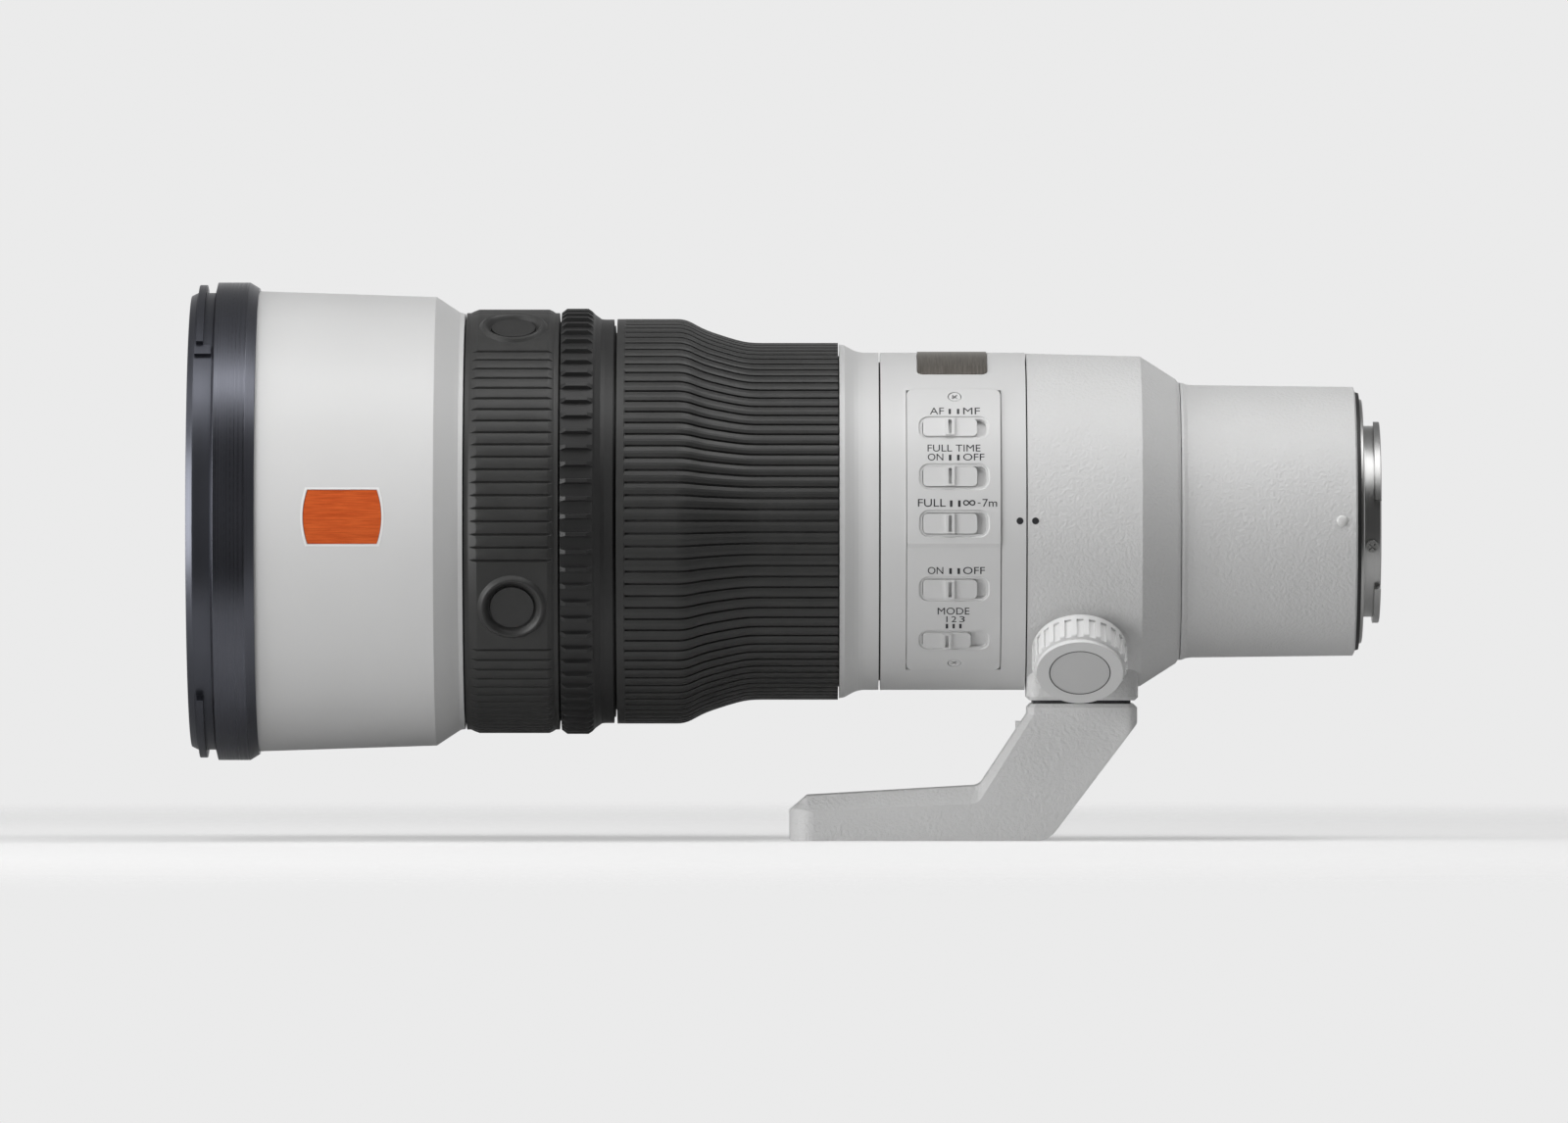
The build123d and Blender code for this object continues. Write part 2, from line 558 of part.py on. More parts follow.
with BuildPart() as switch_panel:
    sector(PANEL_TOP, PANEL_FOLD, (PANEL_X[0], PANEL_SEAT_R + SEAT), (PANEL_X[1], PANEL_SEAT_R + SEAT),
           (PANEL_X[1], PANEL_R[0]), (PANEL_X[0], PANEL_R[0]))
    sector(PANEL_FOLD, PANEL_BOTTOM, (PANEL_X[0], PANEL_SEAT_R + SEAT),
           (PANEL_X[1], PANEL_SEAT_R + SEAT), (PANEL_X[1], PANEL_R[1]), (PANEL_X[0], PANEL_R[1]))
    straight = switch_panel.edges().filter_by(GeomType.LINE)
    upright = straight.filter_by(lambda e: abs(e.tangent_at(0.5).X) < 0.01 and e.length > 1.5)
    fillet(upright, radius=CORNER_R)
    slope_top = PANEL_FOLD + PANEL_FOLD_SLOPE
    with BuildSketch(across(PANEL_X[0] - 1.0)):
        with BuildLine():
            Polyline(round_axis(PANEL_FOLD, PANEL_R[1]), round_axis(slope_top, PANEL_R[0]),
                     round_axis(slope_top, 42.0), round_axis(PANEL_FOLD, 42.0), close=True)
        make_face()
    extrude(amount=PANEL_X[1] - PANEL_X[0] + 2.0, mode=Mode.SUBTRACT)
    for name, angle, travel in SLIDERS:
        level = panel_level(angle)
        with BuildSketch(facing(angle, level + 0.1, POCKET_X)):
            RectangleRounded(POCKET_L, POCKET_W, POCKET_CORNER_R)
        with BuildSketch(facing(angle, level - POCKET_DEPTH, POCKET_X)):
            RectangleRounded(POCKET_L - 2 * POCKET_WALL, POCKET_W - 2 * POCKET_WALL,
                             POCKET_CORNER_R - POCKET_WALL)
        loft(mode=Mode.SUBTRACT)
        with BuildSketch(facing(angle, level, POCKET_X)):
            RectangleRounded(SLOT_L, SLOT_W, SLOT_CORNER_R)
        extrude(amount=POCKET_FLOOR_R - level, mode=Mode.SUBTRACT)
        with BuildSketch(facing(angle, 38.0, STEM_X + travel / 2)):
            Rectangle(STEM_L + travel + 0.6, STEM_W + 0.6)
        extrude(amount=3.0, mode=Mode.SUBTRACT)
    for angle in PANEL_SCREW_ANGLES:
        with BuildSketch(facing(angle, PANEL_SCREW_BACK_R, PANEL_SCREW_X)):
            Circle(PANEL_SCREW_R + PANEL_SCREW_GAP)
        extrude(amount=3.0, mode=Mode.SUBTRACT)
write(switch_panel, "switch_panel")

with BuildPart() as panel_screws:
    for angle in PANEL_SCREW_ANGLES:
        with BuildSketch(facing(angle, PANEL_SCREW_BACK_R, PANEL_SCREW_X)):
            Circle(PANEL_SCREW_R)
        extrude(amount=panel_level(angle) - 0.1 - PANEL_SCREW_BACK_R)
        with BuildSketch(facing(angle, PANEL_SCREW_BACK_R + 0.4, PANEL_SCREW_X)):
            Rectangle(1.7, 0.42, rotation=45)
            Rectangle(1.7, 0.42, rotation=-45)
        extrude(amount=2.0, mode=Mode.SUBTRACT)
write(panel_screws, "panel_screws")

with BuildPart() as name_plate:
    sector(NAME_ANGLES[1] - 0.2, NAME_ANGLES[0] + 0.2, (NAME_X[0] + 0.15, SWITCH_R - PLATE_RECESS),
           (NAME_X[1] - 0.15, SWITCH_R - PLATE_RECESS), (NAME_X[1] - 0.15, SWITCH_R + 0.25),
           (NAME_X[0] + 0.15, SWITCH_R + 0.25))
    fillet(name_plate.edges().filter_by(lambda e: e.length < 0.8), radius=NAME_CORNER_R - 0.15)
write(name_plate, "name_plate")

for name, angle, travel in SLIDERS:
    level = panel_level(angle)
    length = MODE_SLIDER_L if name == "mode_slider" else SLIDER_L
    middle_x = SLIDER_START_X + length / 2
    bottom = POCKET_FLOOR_R + RUN
    with BuildPart() as slider:
        with BuildSketch(facing(angle, bottom, middle_x)):
            RectangleRounded(length, SLIDER_W, SLIDER_CORNER_R)
        extrude(amount=level - bottom)
        with BuildSketch(facing(angle, level, middle_x)):
            Rectangle(RIDGE_W, SLIDER_W - 0.1)
        extrude(amount=RIDGE_H)
        with BuildSketch(facing(angle, level + RIDGE_H, middle_x)):
            Rectangle(RIDGE_GROOVE_W, SLIDER_W - 0.9)
        extrude(amount=-RIDGE_GROOVE_DEPTH, mode=Mode.SUBTRACT)
        with BuildSketch(facing(angle, STEM_BACK_R, STEM_X)):
            Rectangle(STEM_L, STEM_W)
        extrude(amount=bottom - STEM_BACK_R)
    write(slider, name)

# Collar sleeve, collar, clamp and foot
with BuildPart() as collar_sleeve:
    turned((SLEEVE_X[0], bore_r - SEAT), (SWITCH_X[1] + 0.01, bore_r - SEAT),
           (SWITCH_X[1] + 0.01, SLEEVE_R[0]), (SLEEVE_X[1], SLEEVE_R[0]), (SLEEVE_X[2], SLEEVE_R[1]),
           (SLEEVE_X[3], SLEEVE_R[1]),
           (SLEEVE_X[3], SLEEVE_R[1] - SLEEVE_T), (SLEEVE_X[2] - 1.1, SLEEVE_R[1] - SLEEVE_T),
           (SLEEVE_X[1] - 1.3, SLEEVE_R[0] - SLEEVE_T), (SLEEVE_X[0], SLEEVE_R[0] - SLEEVE_T))
write(collar_sleeve, "collar_sleeve")

with BuildPart() as collar:
    turned((COLLAR_X[0], 30.0), (COLLAR_X[0], COLLAR_R[0]), (COLLAR_CONE_X[0], COLLAR_R[1]),
           (COLLAR_CONE_X[1], 34.2), (-44.15, COLLAR_END_R), (COLLAR_X[1], COLLAR_END_R),
           (COLLAR_X[1], 30.0))
    with BuildSketch(Plane.XY.offset(BOSS_Z)):
        with Locations(((BOSS_X[0] + BOSS_X[1]) / 2, 0)):
            RectangleRounded(BOSS_X[1] - BOSS_X[0], 2 * HALF_WIDTH, 3.0)
    extrude(amount=14.0)
    chamfer(collar.faces().sort_by(Axis.Z)[0].edges(), length=0.8)
    with BuildSketch(facing(KNOB_ANGLE, KNOB_SEAT, KNOB_X)):
        Circle(KNOB_PAD_R)
    extrude(amount=KNOB_BACK - RUN - KNOB_SEAT)
    turned((COLLAR_X[0] - 1, 0), (COLLAR_X[0] - 1, COLLAR_BORE_R[0]), (COLLAR_BORE_X[0], COLLAR_BORE_R[0]),
           (COLLAR_BORE_X[1], COLLAR_BORE_R[1]), (COLLAR_X[1] + 1, COLLAR_BORE_R[1]), (COLLAR_X[1] + 1, 0),
           mode=Mode.SUBTRACT)
    with BuildSketch(facing(KNOB_ANGLE, KNOB_SEAT, KNOB_X)):
        Circle(STUD_R + SEAT)
    extrude(amount=8.0, mode=Mode.SUBTRACT)
    with BuildSketch(facing(KNOB_ANGLE, KNOB_SEAT, KNOB_X)):
        Circle(SHOE_R + RUN)
    extrude(amount=SHOE_POCKET_DEPTH, mode=Mode.SUBTRACT)
    with BuildSketch(Plane.XY.offset(BOSS_Z - 1)):
        with Locations(*FOOT_SCREWS):
            Circle(FOOT_SCREW_R)
    extrude(amount=4.5, mode=Mode.SUBTRACT)
write(collar, "collar")

with BuildPart() as brake_shoe:
    with BuildSketch(facing(KNOB_ANGLE, SHOE_FROM, KNOB_X)):
        Circle(SHOE_R)
    extrude(amount=SHOE_T)
write(brake_shoe, "brake_shoe")

with BuildPart() as clamp_stud:
    with BuildSketch(facing(KNOB_ANGLE, STUD_FROM, KNOB_X)):
        Circle(STUD_R)
    extrude(amount=STUD_L)
write(clamp_stud, "clamp_stud")

with BuildPart() as clamp_knob:
    with BuildSketch(facing(KNOB_ANGLE, KNOB_BACK, KNOB_X)):
        Circle(KNOB_R)
    extrude(amount=KNOB_FLUTE_L[1])
    ends = clamp_knob.edges().filter_by(GeomType.CIRCLE).sort_by(lambda e: e.center().length)
    chamfer(ends[-1], length=0.5, length2=KNOB_R - KNOB_SHOULDER_R)
    fillet(ends[0], radius=1.8)
    with BuildSketch(facing(KNOB_ANGLE, KNOB_BACK, KNOB_X)):
        Circle(KNOB_SHOULDER_R)
    extrude(amount=KNOB_L)
    rim = clamp_knob.edges().filter_by(GeomType.CIRCLE).sort_by(lambda e: e.center().length)[-1]
    fillet(rim, radius=KNOB_SHOULDER_R - KNOB_FACE_R)
    with BuildSketch(facing(KNOB_ANGLE, KNOB_BACK + KNOB_FLUTE_L[0], KNOB_X)):
        with PolarLocations(KNOB_R, KNOB_FLUTES):
            Rectangle(1.0, 1.6)
    extrude(amount=KNOB_FLUTE_L[1] - KNOB_FLUTE_L[0], mode=Mode.SUBTRACT)
    with BuildSketch(facing(KNOB_ANGLE, KNOB_BACK + KNOB_L - 0.8, KNOB_X)):
        Circle(KNOB_CAP_R)
    extrude(amount=2.0, mode=Mode.SUBTRACT)
    with BuildSketch(facing(KNOB_ANGLE, KNOB_BACK, KNOB_X)):
        Circle(STUD_R)
    extrude(amount=4.5, mode=Mode.SUBTRACT)
write(clamp_knob, "clamp_knob")

with BuildPart() as clamp_cap:
    with BuildSketch(facing(KNOB_ANGLE, KNOB_BACK + KNOB_L - 0.8, KNOB_X)):
        Circle(KNOB_CAP_R - 0.12)
    extrude(amount=0.75)
write(clamp_cap, "clamp_cap")

with BuildPart() as foot:
    with BuildSketch(Plane.XZ):
        foot_outline(FOOT_MIDDLE)
    extrude(amount=BEVEL_START, both=True)
    with BuildSketch(Plane.XZ.offset(BEVEL_START)):
        foot_outline(FOOT_MIDDLE)
    with BuildSketch(Plane.XZ.offset(HALF_WIDTH)):
        foot_outline(FOOT_SIDE)
    loft(ruled=True)
    mirror(about=Plane.XZ)
    with BuildSketch(Plane.XY.offset(FOOT_BOTTOM_Z - 1)) as foot_plan:
        with Locations(((NOSE_X + HEEL_X) / 2, 0)):
            Rectangle(HEEL_X - NOSE_X, 2 * HALF_WIDTH)
        fillet(foot_plan.vertices().group_by(Axis.X)[0], radius=6.0)
        fillet(foot_plan.vertices().group_by(Axis.X)[-1], radius=2.6)
    extrude(amount=40.0, mode=Mode.INTERSECT)
    chamfer(foot.faces().sort_by(Axis.Z)[-1].edges(), length=0.9)
    with BuildSketch(Plane.XY.offset(FOOT_TOP_Z - 0.5)):
        with Locations(((RISER_X[0] + RISER_X[1]) / 2, 0)):
            RectangleRounded(RISER_X[1] - RISER_X[0], 2 * HALF_WIDTH - 2.4, 2.0)
    extrude(amount=BOSS_Z - FOOT_TOP_Z + 0.5)
    with BuildSketch(Plane.XZ):
        with BuildLine():
            Polyline(*WEDGE_LUG, close=True)
        make_face()
    extrude(amount=5.0, both=True)
    with BuildSketch(Plane.XY.offset(FOOT_BOTTOM_Z - 1)):
        with Locations(*FOOT_SCREWS):
            Circle(FOOT_SCREW_HEAD_R + 0.2)
    extrude(amount=FOOT_SCREW_SEAT_Z - FOOT_BOTTOM_Z + 1, mode=Mode.SUBTRACT)
    with BuildSketch(Plane.XY.offset(FOOT_SCREW_SEAT_Z - 1)):
        with Locations(*FOOT_SCREWS):
            Circle(FOOT_SCREW_R)
    extrude(amount=12.0, mode=Mode.SUBTRACT)
    for thread_x, thread_r in ((SMALL_THREAD_X, SMALL_THREAD_R), (LARGE_THREAD_X, LARGE_THREAD_R)):
        with BuildSketch(Plane.XY.offset(FOOT_BOTTOM_Z - 1)):
            with Locations((thread_x, 0)):
                Circle(thread_r)
        extrude(amount=THREAD_DEPTH + 1, mode=Mode.SUBTRACT)
write(foot, "foot")

with BuildPart() as foot_screws:
    with BuildSketch(Plane.XY.offset(FOOT_SCREW_SEAT_Z - FOOT_SCREW_HEAD_H)):
        with Locations(*FOOT_SCREWS):
            Circle(FOOT_SCREW_HEAD_R)
    extrude(amount=FOOT_SCREW_HEAD_H)
    with BuildSketch(Plane.XY.offset(FOOT_SCREW_SEAT_Z)):
        with Locations(*FOOT_SCREWS):
            Circle(FOOT_SCREW_R)
    extrude(amount=9.5)
    with BuildSketch(Plane.XY.offset(FOOT_SCREW_SEAT_Z - FOOT_SCREW_HEAD_H)):
        with Locations(*FOOT_SCREWS):
            RegularPolygon(1.7, 6)
    extrude(amount=1.3, mode=Mode.SUBTRACT)
write(foot_screws, "foot_screws")

# Rear barrel and mount
with BuildPart() as rear_barrel:
    turned((REAR_X[0], COLLAR_END_R), (-43.15, COLLAR_END_R - 0.05), (-42.3, 32.97), (-41.0, REAR_R[0]),
           (-2.1, REAR_R[1]),
           (REAR_X[1], REAR_R[1] - 0.9), (REAR_X[1], MOUNT_BORE_R + 1.0), (-3.5, MOUNT_BORE_R + 1.0),
           (-3.5, 30.3), (-33.0, 30.3), (-33.0, 23.0), (-34.0, REAR_GLASS_R + SEAT),
           (-39.8, REAR_GLASS_R + SEAT), (-39.8, REAR_GLASS_R - LIP), (-41.0, REAR_GLASS_R - LIP),
           (-41.0, 28.0), (-50.5, 28.0), (-50.5, 29.85), (REAR_X[0], 29.85))
    for angle in MOUNT_SCREW_ANGLES:
        with BuildSketch(across(REAR_X[1] - 1.6)):
            with Locations(round_axis(angle, MOUNT_SCREW_AT_R)):
                Circle(MOUNT_SCREW_R)
        extrude(amount=3.0, mode=Mode.SUBTRACT)
write(rear_barrel, "rear_barrel")

with BuildPart() as rear_element:
    lens_element(*REAR_GLASS_X, REAR_GLASS_R)
write(rear_element, "rear_element")

with BuildPart() as mount_seal:
    turned((REAR_X[1], SEAL_R), (-0.8, SEAL_R - 0.25), (-0.8, FLANGE_R + SEAT), (REAR_X[1], FLANGE_R + SEAT))
write(mount_seal, "mount_seal")

with BuildPart() as bayonet_mount:
    turned((REAR_X[1], FLANGE_R), (-0.2, FLANGE_R), (FLANGE_X, FLANGE_R - 0.2), (FLANGE_X, THROAT_R + 0.3),
           (FLANGE_X + 0.4, THROAT_R + 0.3), (FLANGE_X + 0.4, THROAT_R), (BAYONET_X - 0.3, THROAT_R),
           (BAYONET_X, THROAT_R - 0.3), (BAYONET_X, MOUNT_BORE_R),
           (BAFFLE_X, MOUNT_BORE_R), (BAFFLE_X, MOUNT_BORE_R + 0.95), (REAR_X[1], MOUNT_BORE_R + 0.95))
    for centre in LUG_CENTRES:
        sector(centre + LUG_HALF_ANGLE, centre - LUG_HALF_ANGLE, (BAYONET_X - LUG_T, THROAT_R - 0.5),
               (BAYONET_X - LUG_T, BAYONET_LUG_R), (BAYONET_X - 0.2, BAYONET_LUG_R),
               (BAYONET_X, BAYONET_LUG_R - 0.2), (BAYONET_X, THROAT_R - 0.5))
    for angle in MOUNT_SCREW_ANGLES:
        with BuildSketch(across(REAR_X[1] - 0.1)):
            with Locations(round_axis(angle, MOUNT_SCREW_AT_R)):
                Circle(MOUNT_SCREW_R)
        extrude(amount=3.0, mode=Mode.SUBTRACT)
        with BuildSketch(across(MOUNT_HEAD_X)):
            with Locations(round_axis(angle, MOUNT_SCREW_AT_R)):
                Circle(MOUNT_HEAD_R + 0.1)
        extrude(amount=3.0, mode=Mode.SUBTRACT)
    with BuildSketch(across(REAR_X[1] - 0.1)):
        with Locations(round_axis(LOCK_HOLE_ANGLE, MOUNT_SCREW_AT_R)):
            Circle(LOCK_HOLE_R)
    extrude(amount=3.0, mode=Mode.SUBTRACT)
    with BuildSketch(facing(STOP_ANGLE, THROAT_R - 1.4, STOP_X)):
        Circle(STOP_SHANK_R)
    extrude(amount=3.0, mode=Mode.SUBTRACT)
write(bayonet_mount, "bayonet_mount")

with BuildPart() as mount_screws:
    for angle in MOUNT_SCREW_ANGLES:
        with BuildSketch(across(-3.0)):
            with Locations(round_axis(angle, MOUNT_SCREW_AT_R)):
                Circle(MOUNT_SCREW_R)
        extrude(amount=2.0)
        with BuildSketch(across(MOUNT_HEAD_X)):
            with Locations(round_axis(angle, MOUNT_SCREW_AT_R)):
                Circle(MOUNT_HEAD_R)
        extrude(amount=1.05)
        with BuildSketch(across(-0.5)):
            with Locations(round_axis(angle, MOUNT_SCREW_AT_R)):
                Rectangle(2.0, 0.45)
                Rectangle(0.45, 2.0)
        extrude(amount=1.0, mode=Mode.SUBTRACT)
write(mount_screws, "mount_screws")

with BuildPart() as stop_screw:
    with BuildSketch(facing(STOP_ANGLE, THROAT_R - 1.4, STOP_X)):
        Circle(STOP_SHANK_R)
    extrude(amount=1.4)
    with BuildSketch(facing(STOP_ANGLE, THROAT_R, STOP_X)):
        Circle(STOP_HEAD_R)
    extrude(amount=0.7)
    with BuildSketch(facing(STOP_ANGLE, THROAT_R + 0.35, STOP_X)):
        Rectangle(2.0, 0.4, rotation=45)
        Rectangle(2.0, 0.4, rotation=-45)
    extrude(amount=1.0, mode=Mode.SUBTRACT)
write(stop_screw, "stop_screw")

with BuildPart() as rear_baffle:
    with BuildSketch(across(BAFFLE_X)):
        Circle(MOUNT_BORE_R - SEAT)
        RectangleRounded(*WINDOW, 1.5, mode=Mode.SUBTRACT)
    extrude(amount=BAFFLE_T)
write(rear_baffle, "rear_baffle")

with BuildPart() as contact_block:
    sector(CONTACT_TOP, CONTACT_BOTTOM, (BAFFLE_X + BAFFLE_T, CONTACT_R),
           (BAFFLE_X + BAFFLE_T, MOUNT_BORE_R - SEAT), (CONTACT_X, MOUNT_BORE_R - SEAT),
           (CONTACT_X, CONTACT_R))
write(contact_block, "contact_block")

with BuildPart() as contact_pins:
    step = (CONTACT_TOP - CONTACT_BOTTOM) / (CONTACTS + 1)
    for i in range(CONTACTS):
        with BuildSketch(across(CONTACT_X)):
            with Locations(round_axis(CONTACT_TOP - (i + 1) * step, CONTACT_R + 1.7)):
                Circle(PIN_R)
        extrude(amount=PIN_L)
write(contact_pins, "contact_pins")

# Iris: a housing with fixed pivots, a drive ring and its blades
blade_angles = [i * 360 / IRIS_BLADES for i in range(IRIS_BLADES)]
blades_x = IRIS_X + 2.6
ring_x = blades_x + IRIS_BLADES * LAYER + 0.3

with BuildPart() as iris_housing:
    turned((IRIS_X, IRIS_OPEN_R + 0.6), (IRIS_X, IRIS_R), (IRIS_REAR_X, IRIS_R), (IRIS_REAR_X, IRIS_WALL_R),
           (IRIS_X + 2.4, IRIS_WALL_R), (IRIS_X + 2.4, IRIS_OPEN_R + 0.6))
    with BuildSketch(across(IRIS_X + 2.0)):
        with PolarLocations(PIVOT_R, IRIS_BLADES):
            Circle(0.8)
    extrude(amount=ring_x - IRIS_X - 2.3)
    with BuildSketch(across(IRIS_X - 1)):
        for angle in ROD_ANGLES:
            with Locations((0, ROD_AT_R * sin(radians(angle)))):
                Circle(ROD_R)
    extrude(amount=2.5, mode=Mode.SUBTRACT)
write(iris_housing, "iris_housing")

lever_x = LEVER * cos(radians(LEVER_REST))
lever_y = LEVER * sin(radians(LEVER_REST))
pin_r = sqrt((PIVOT_R + lever_x) ** 2 + lever_y ** 2)
pin_angle = degrees(asin(lever_y / pin_r))

with BuildPart() as iris_ring:
    with BuildSketch(across(ring_x)):
        Circle(DRIVE_RING_R[0])
        Circle(DRIVE_RING_R[1], mode=Mode.SUBTRACT)
        for angle in blade_angles:
            with Locations(turned_point(pin_r, angle + pin_angle)):
                Rectangle(3.0, 2.0, rotation=angle + pin_angle, mode=Mode.SUBTRACT)
    extrude(amount=1.2)
write(iris_ring, "iris_ring")

for number, angle in enumerate(blade_angles, start=1):
    blade_x = blades_x + (number - 1) * LAYER
    with BuildPart() as iris_blade:
        with BuildSketch(Plane((blade_x, 0, 0), x_dir=(0, cos(radians(angle)), sin(radians(angle))),
                               z_dir=(1, 0, 0))) as blade_outline:
            with BuildLine():
                CenterArc((0, 0), IRIS_OPEN_R, 4, 88)
                CenterArc((0, 0), BLADE_OUT_R, 4, 88)
                Line(turned_point(IRIS_OPEN_R, 4), turned_point(BLADE_OUT_R, 4))
                Line(turned_point(IRIS_OPEN_R, 92), turned_point(BLADE_OUT_R, 92))
            make_face()
            with BuildLine():
                Polyline(turned_point(19.5, 4), turned_point(19.5, 12), (PIVOT_R, 1.5),
                         (PIVOT_R + lever_x + 0.3, lever_y + 1.2), (PIVOT_R + lever_x + 0.3, lever_y - 1.0),
                         (PIVOT_R, -1.6), close=True)
            make_face()
            with Locations((PIVOT_R, 0)):
                Circle(1.7)
                Circle(0.85, mode=Mode.SUBTRACT)
        extrude(amount=BLADE_T)
        with BuildSketch(Plane((blade_x, 0, 0), x_dir=(0, cos(radians(angle)), sin(radians(angle))),
                               z_dir=(1, 0, 0))):
            with Locations((PIVOT_R + lever_x, lever_y)):
                Circle(0.6)
        extrude(amount=ring_x + 1.0 - blade_x)
    write(iris_blade, f"iris_blade_{number}")

# Focus group on its rods, and the stabiliser group
with BuildPart() as guide_rods:
    with BuildSketch(across(ROD_X[0])):
        for angle in ROD_ANGLES:
            with Locations((0, ROD_AT_R * sin(radians(angle)))):
                Circle(ROD_R)
    extrude(amount=ROD_X[1] - ROD_X[0])
write(guide_rods, "guide_rods")

with BuildPart() as focus_carriage:
    turned((CARRIAGE_X[0], CARRIAGE_R), (CARRIAGE_X[1], CARRIAGE_R), (CARRIAGE_X[1], FOCUS_GLASS_R - LIP),
           (CARRIAGE_LIP_X, FOCUS_GLASS_R - LIP), (CARRIAGE_LIP_X, FOCUS_GLASS_R + SEAT),
           (CARRIAGE_X[0], FOCUS_GLASS_R + SEAT))
    with BuildSketch(across(CARRIAGE_X[0])):
        for angle in ROD_ANGLES:
            with Locations((0, ROD_AT_R * sin(radians(angle)))):
                Circle(3.0)
            with Locations((0, (CARRIAGE_R + 0.5) * sin(radians(angle)))):
                Rectangle(5.0, 4.0)
    extrude(amount=CARRIAGE_X[1] - CARRIAGE_X[0])
    turned((CARRIAGE_X[0] - 1, 0), (CARRIAGE_X[0] - 1, FOCUS_GLASS_R + SEAT),
           (CARRIAGE_LIP_X, FOCUS_GLASS_R + SEAT), (CARRIAGE_LIP_X, FOCUS_GLASS_R - LIP),
           (CARRIAGE_X[1] + 1, FOCUS_GLASS_R - LIP), (CARRIAGE_X[1] + 1, 0), mode=Mode.SUBTRACT)
    with BuildSketch(across(CARRIAGE_X[0] - 1)):
        for angle in ROD_ANGLES:
            with Locations((0, ROD_AT_R * sin(radians(angle)))):
                Circle(ROD_R + 0.06)
    extrude(amount=20.0, mode=Mode.SUBTRACT)
write(focus_carriage, "focus_carriage")

with BuildPart() as focus_element:
    lens_element(*FOCUS_GLASS_X, FOCUS_GLASS_R)
write(focus_element, "focus_element")

with BuildPart() as stabiliser_frame:
    turned((FRAME_X[0], FRAME_R[0]), (FRAME_X[1], FRAME_R[0]), (FRAME_X[1], FRAME_R[1]),
           (FRAME_X[0], FRAME_R[1]))
write(stabiliser_frame, "stabiliser_frame")

with BuildPart() as stabiliser_cell:
    turned((STABILISER_X[0], STABILISER_R[0]), (STABILISER_X[2], STABILISER_R[0]),
           (STABILISER_X[2], STABILISER_R[1] - LIP), (STABILISER_X[1], STABILISER_R[1] - LIP),
           (STABILISER_X[1], STABILISER_R[1] + SEAT), (STABILISER_X[0], STABILISER_R[1] + SEAT))
write(stabiliser_cell, "stabiliser_cell")

with BuildPart() as stabiliser_element:
    lens_element(*STABILISER_GLASS_X, STABILISER_R[1])
write(stabiliser_element, "stabiliser_element")

with BuildPart() as main_board:
    with BuildSketch(across(WEB_X[1])):
        Circle(BOARD_R[0])
        Circle(BOARD_R[1], mode=Mode.SUBTRACT)
    extrude(amount=BOARD_T)
write(main_board, "main_board")
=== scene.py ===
import json
from math import atan2, cos, degrees, pi, radians, sin, sqrt

import bpy
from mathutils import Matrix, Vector


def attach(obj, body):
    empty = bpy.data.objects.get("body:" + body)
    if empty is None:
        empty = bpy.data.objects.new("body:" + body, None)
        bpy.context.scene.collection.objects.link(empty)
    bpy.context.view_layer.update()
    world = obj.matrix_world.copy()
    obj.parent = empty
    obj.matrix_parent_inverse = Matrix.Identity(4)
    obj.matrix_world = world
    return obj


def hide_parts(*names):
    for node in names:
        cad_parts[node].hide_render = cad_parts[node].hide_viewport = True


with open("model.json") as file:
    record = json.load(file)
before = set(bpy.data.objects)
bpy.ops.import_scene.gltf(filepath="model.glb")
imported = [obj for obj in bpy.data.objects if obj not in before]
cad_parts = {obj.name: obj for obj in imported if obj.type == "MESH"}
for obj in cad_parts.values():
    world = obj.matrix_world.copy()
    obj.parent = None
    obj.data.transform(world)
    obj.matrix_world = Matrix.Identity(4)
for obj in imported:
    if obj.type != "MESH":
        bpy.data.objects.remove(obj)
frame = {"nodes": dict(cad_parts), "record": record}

bpy.context.view_layer.update()

MM = 0.001
ROOT = "lens"
MIDDLE = Vector((-0.139, 0.0, 0.0))

# The photo: millimetres per pixel on the axis, its width, its middle and the axis in pixels
PX = 0.236
PHOTO_WIDTH = 1600
FRAME_CENTRE = (800, 573)
AXIS_Y = 532
CENTRE_X = -138.96
CAMERA_DISTANCE = 4.4

# Ribs of the focus grip, in millimetres and shares of a rib
GRIP_RIBS = 100
RIBS_FROM_X = -176.9
RIB_RUN_IN = 0.3
RIB_SLOPE = 0.4
RIB_SWELL = 0.3


# Small parts that the materials are made from

def new_material(name):
    """An empty material with its nodes, links, shader and the object's own coordinates."""
    mat = bpy.data.materials.new(name)
    mat.use_nodes = True
    nodes, links = mat.node_tree.nodes, mat.node_tree.links
    shader = nodes["Principled BSDF"]
    place = nodes.new("ShaderNodeTexCoord").outputs["Object"]
    return mat, nodes, links, shader, place


def set_or_link(links, socket, value):
    """Give an input a constant, or link it to the output of another node."""
    if isinstance(value, float):
        socket.default_value = value
    else:
        links.new(value, socket)


def worked_out(nodes, links, operation, *values):
    """One number worked out from others, each of which is an output or a constant."""
    node = nodes.new("ShaderNodeMath")
    node.operation = operation
    for socket, value in zip(node.inputs, values):
        set_or_link(links, socket, value)
    return node.outputs[0]


def parts_of(nodes, links, vector):
    """The X, Y and Z of a vector."""
    split = nodes.new("ShaderNodeSeparateXYZ")
    links.new(vector, split.inputs[0])
    return split.outputs["X"], split.outputs["Y"], split.outputs["Z"]


def length_of(nodes, links, vector):
    """How long a vector is."""
    length = nodes.new("ShaderNodeVectorMath")
    length.operation = "LENGTH"
    links.new(vector, length.inputs[0])
    return length.outputs["Value"]


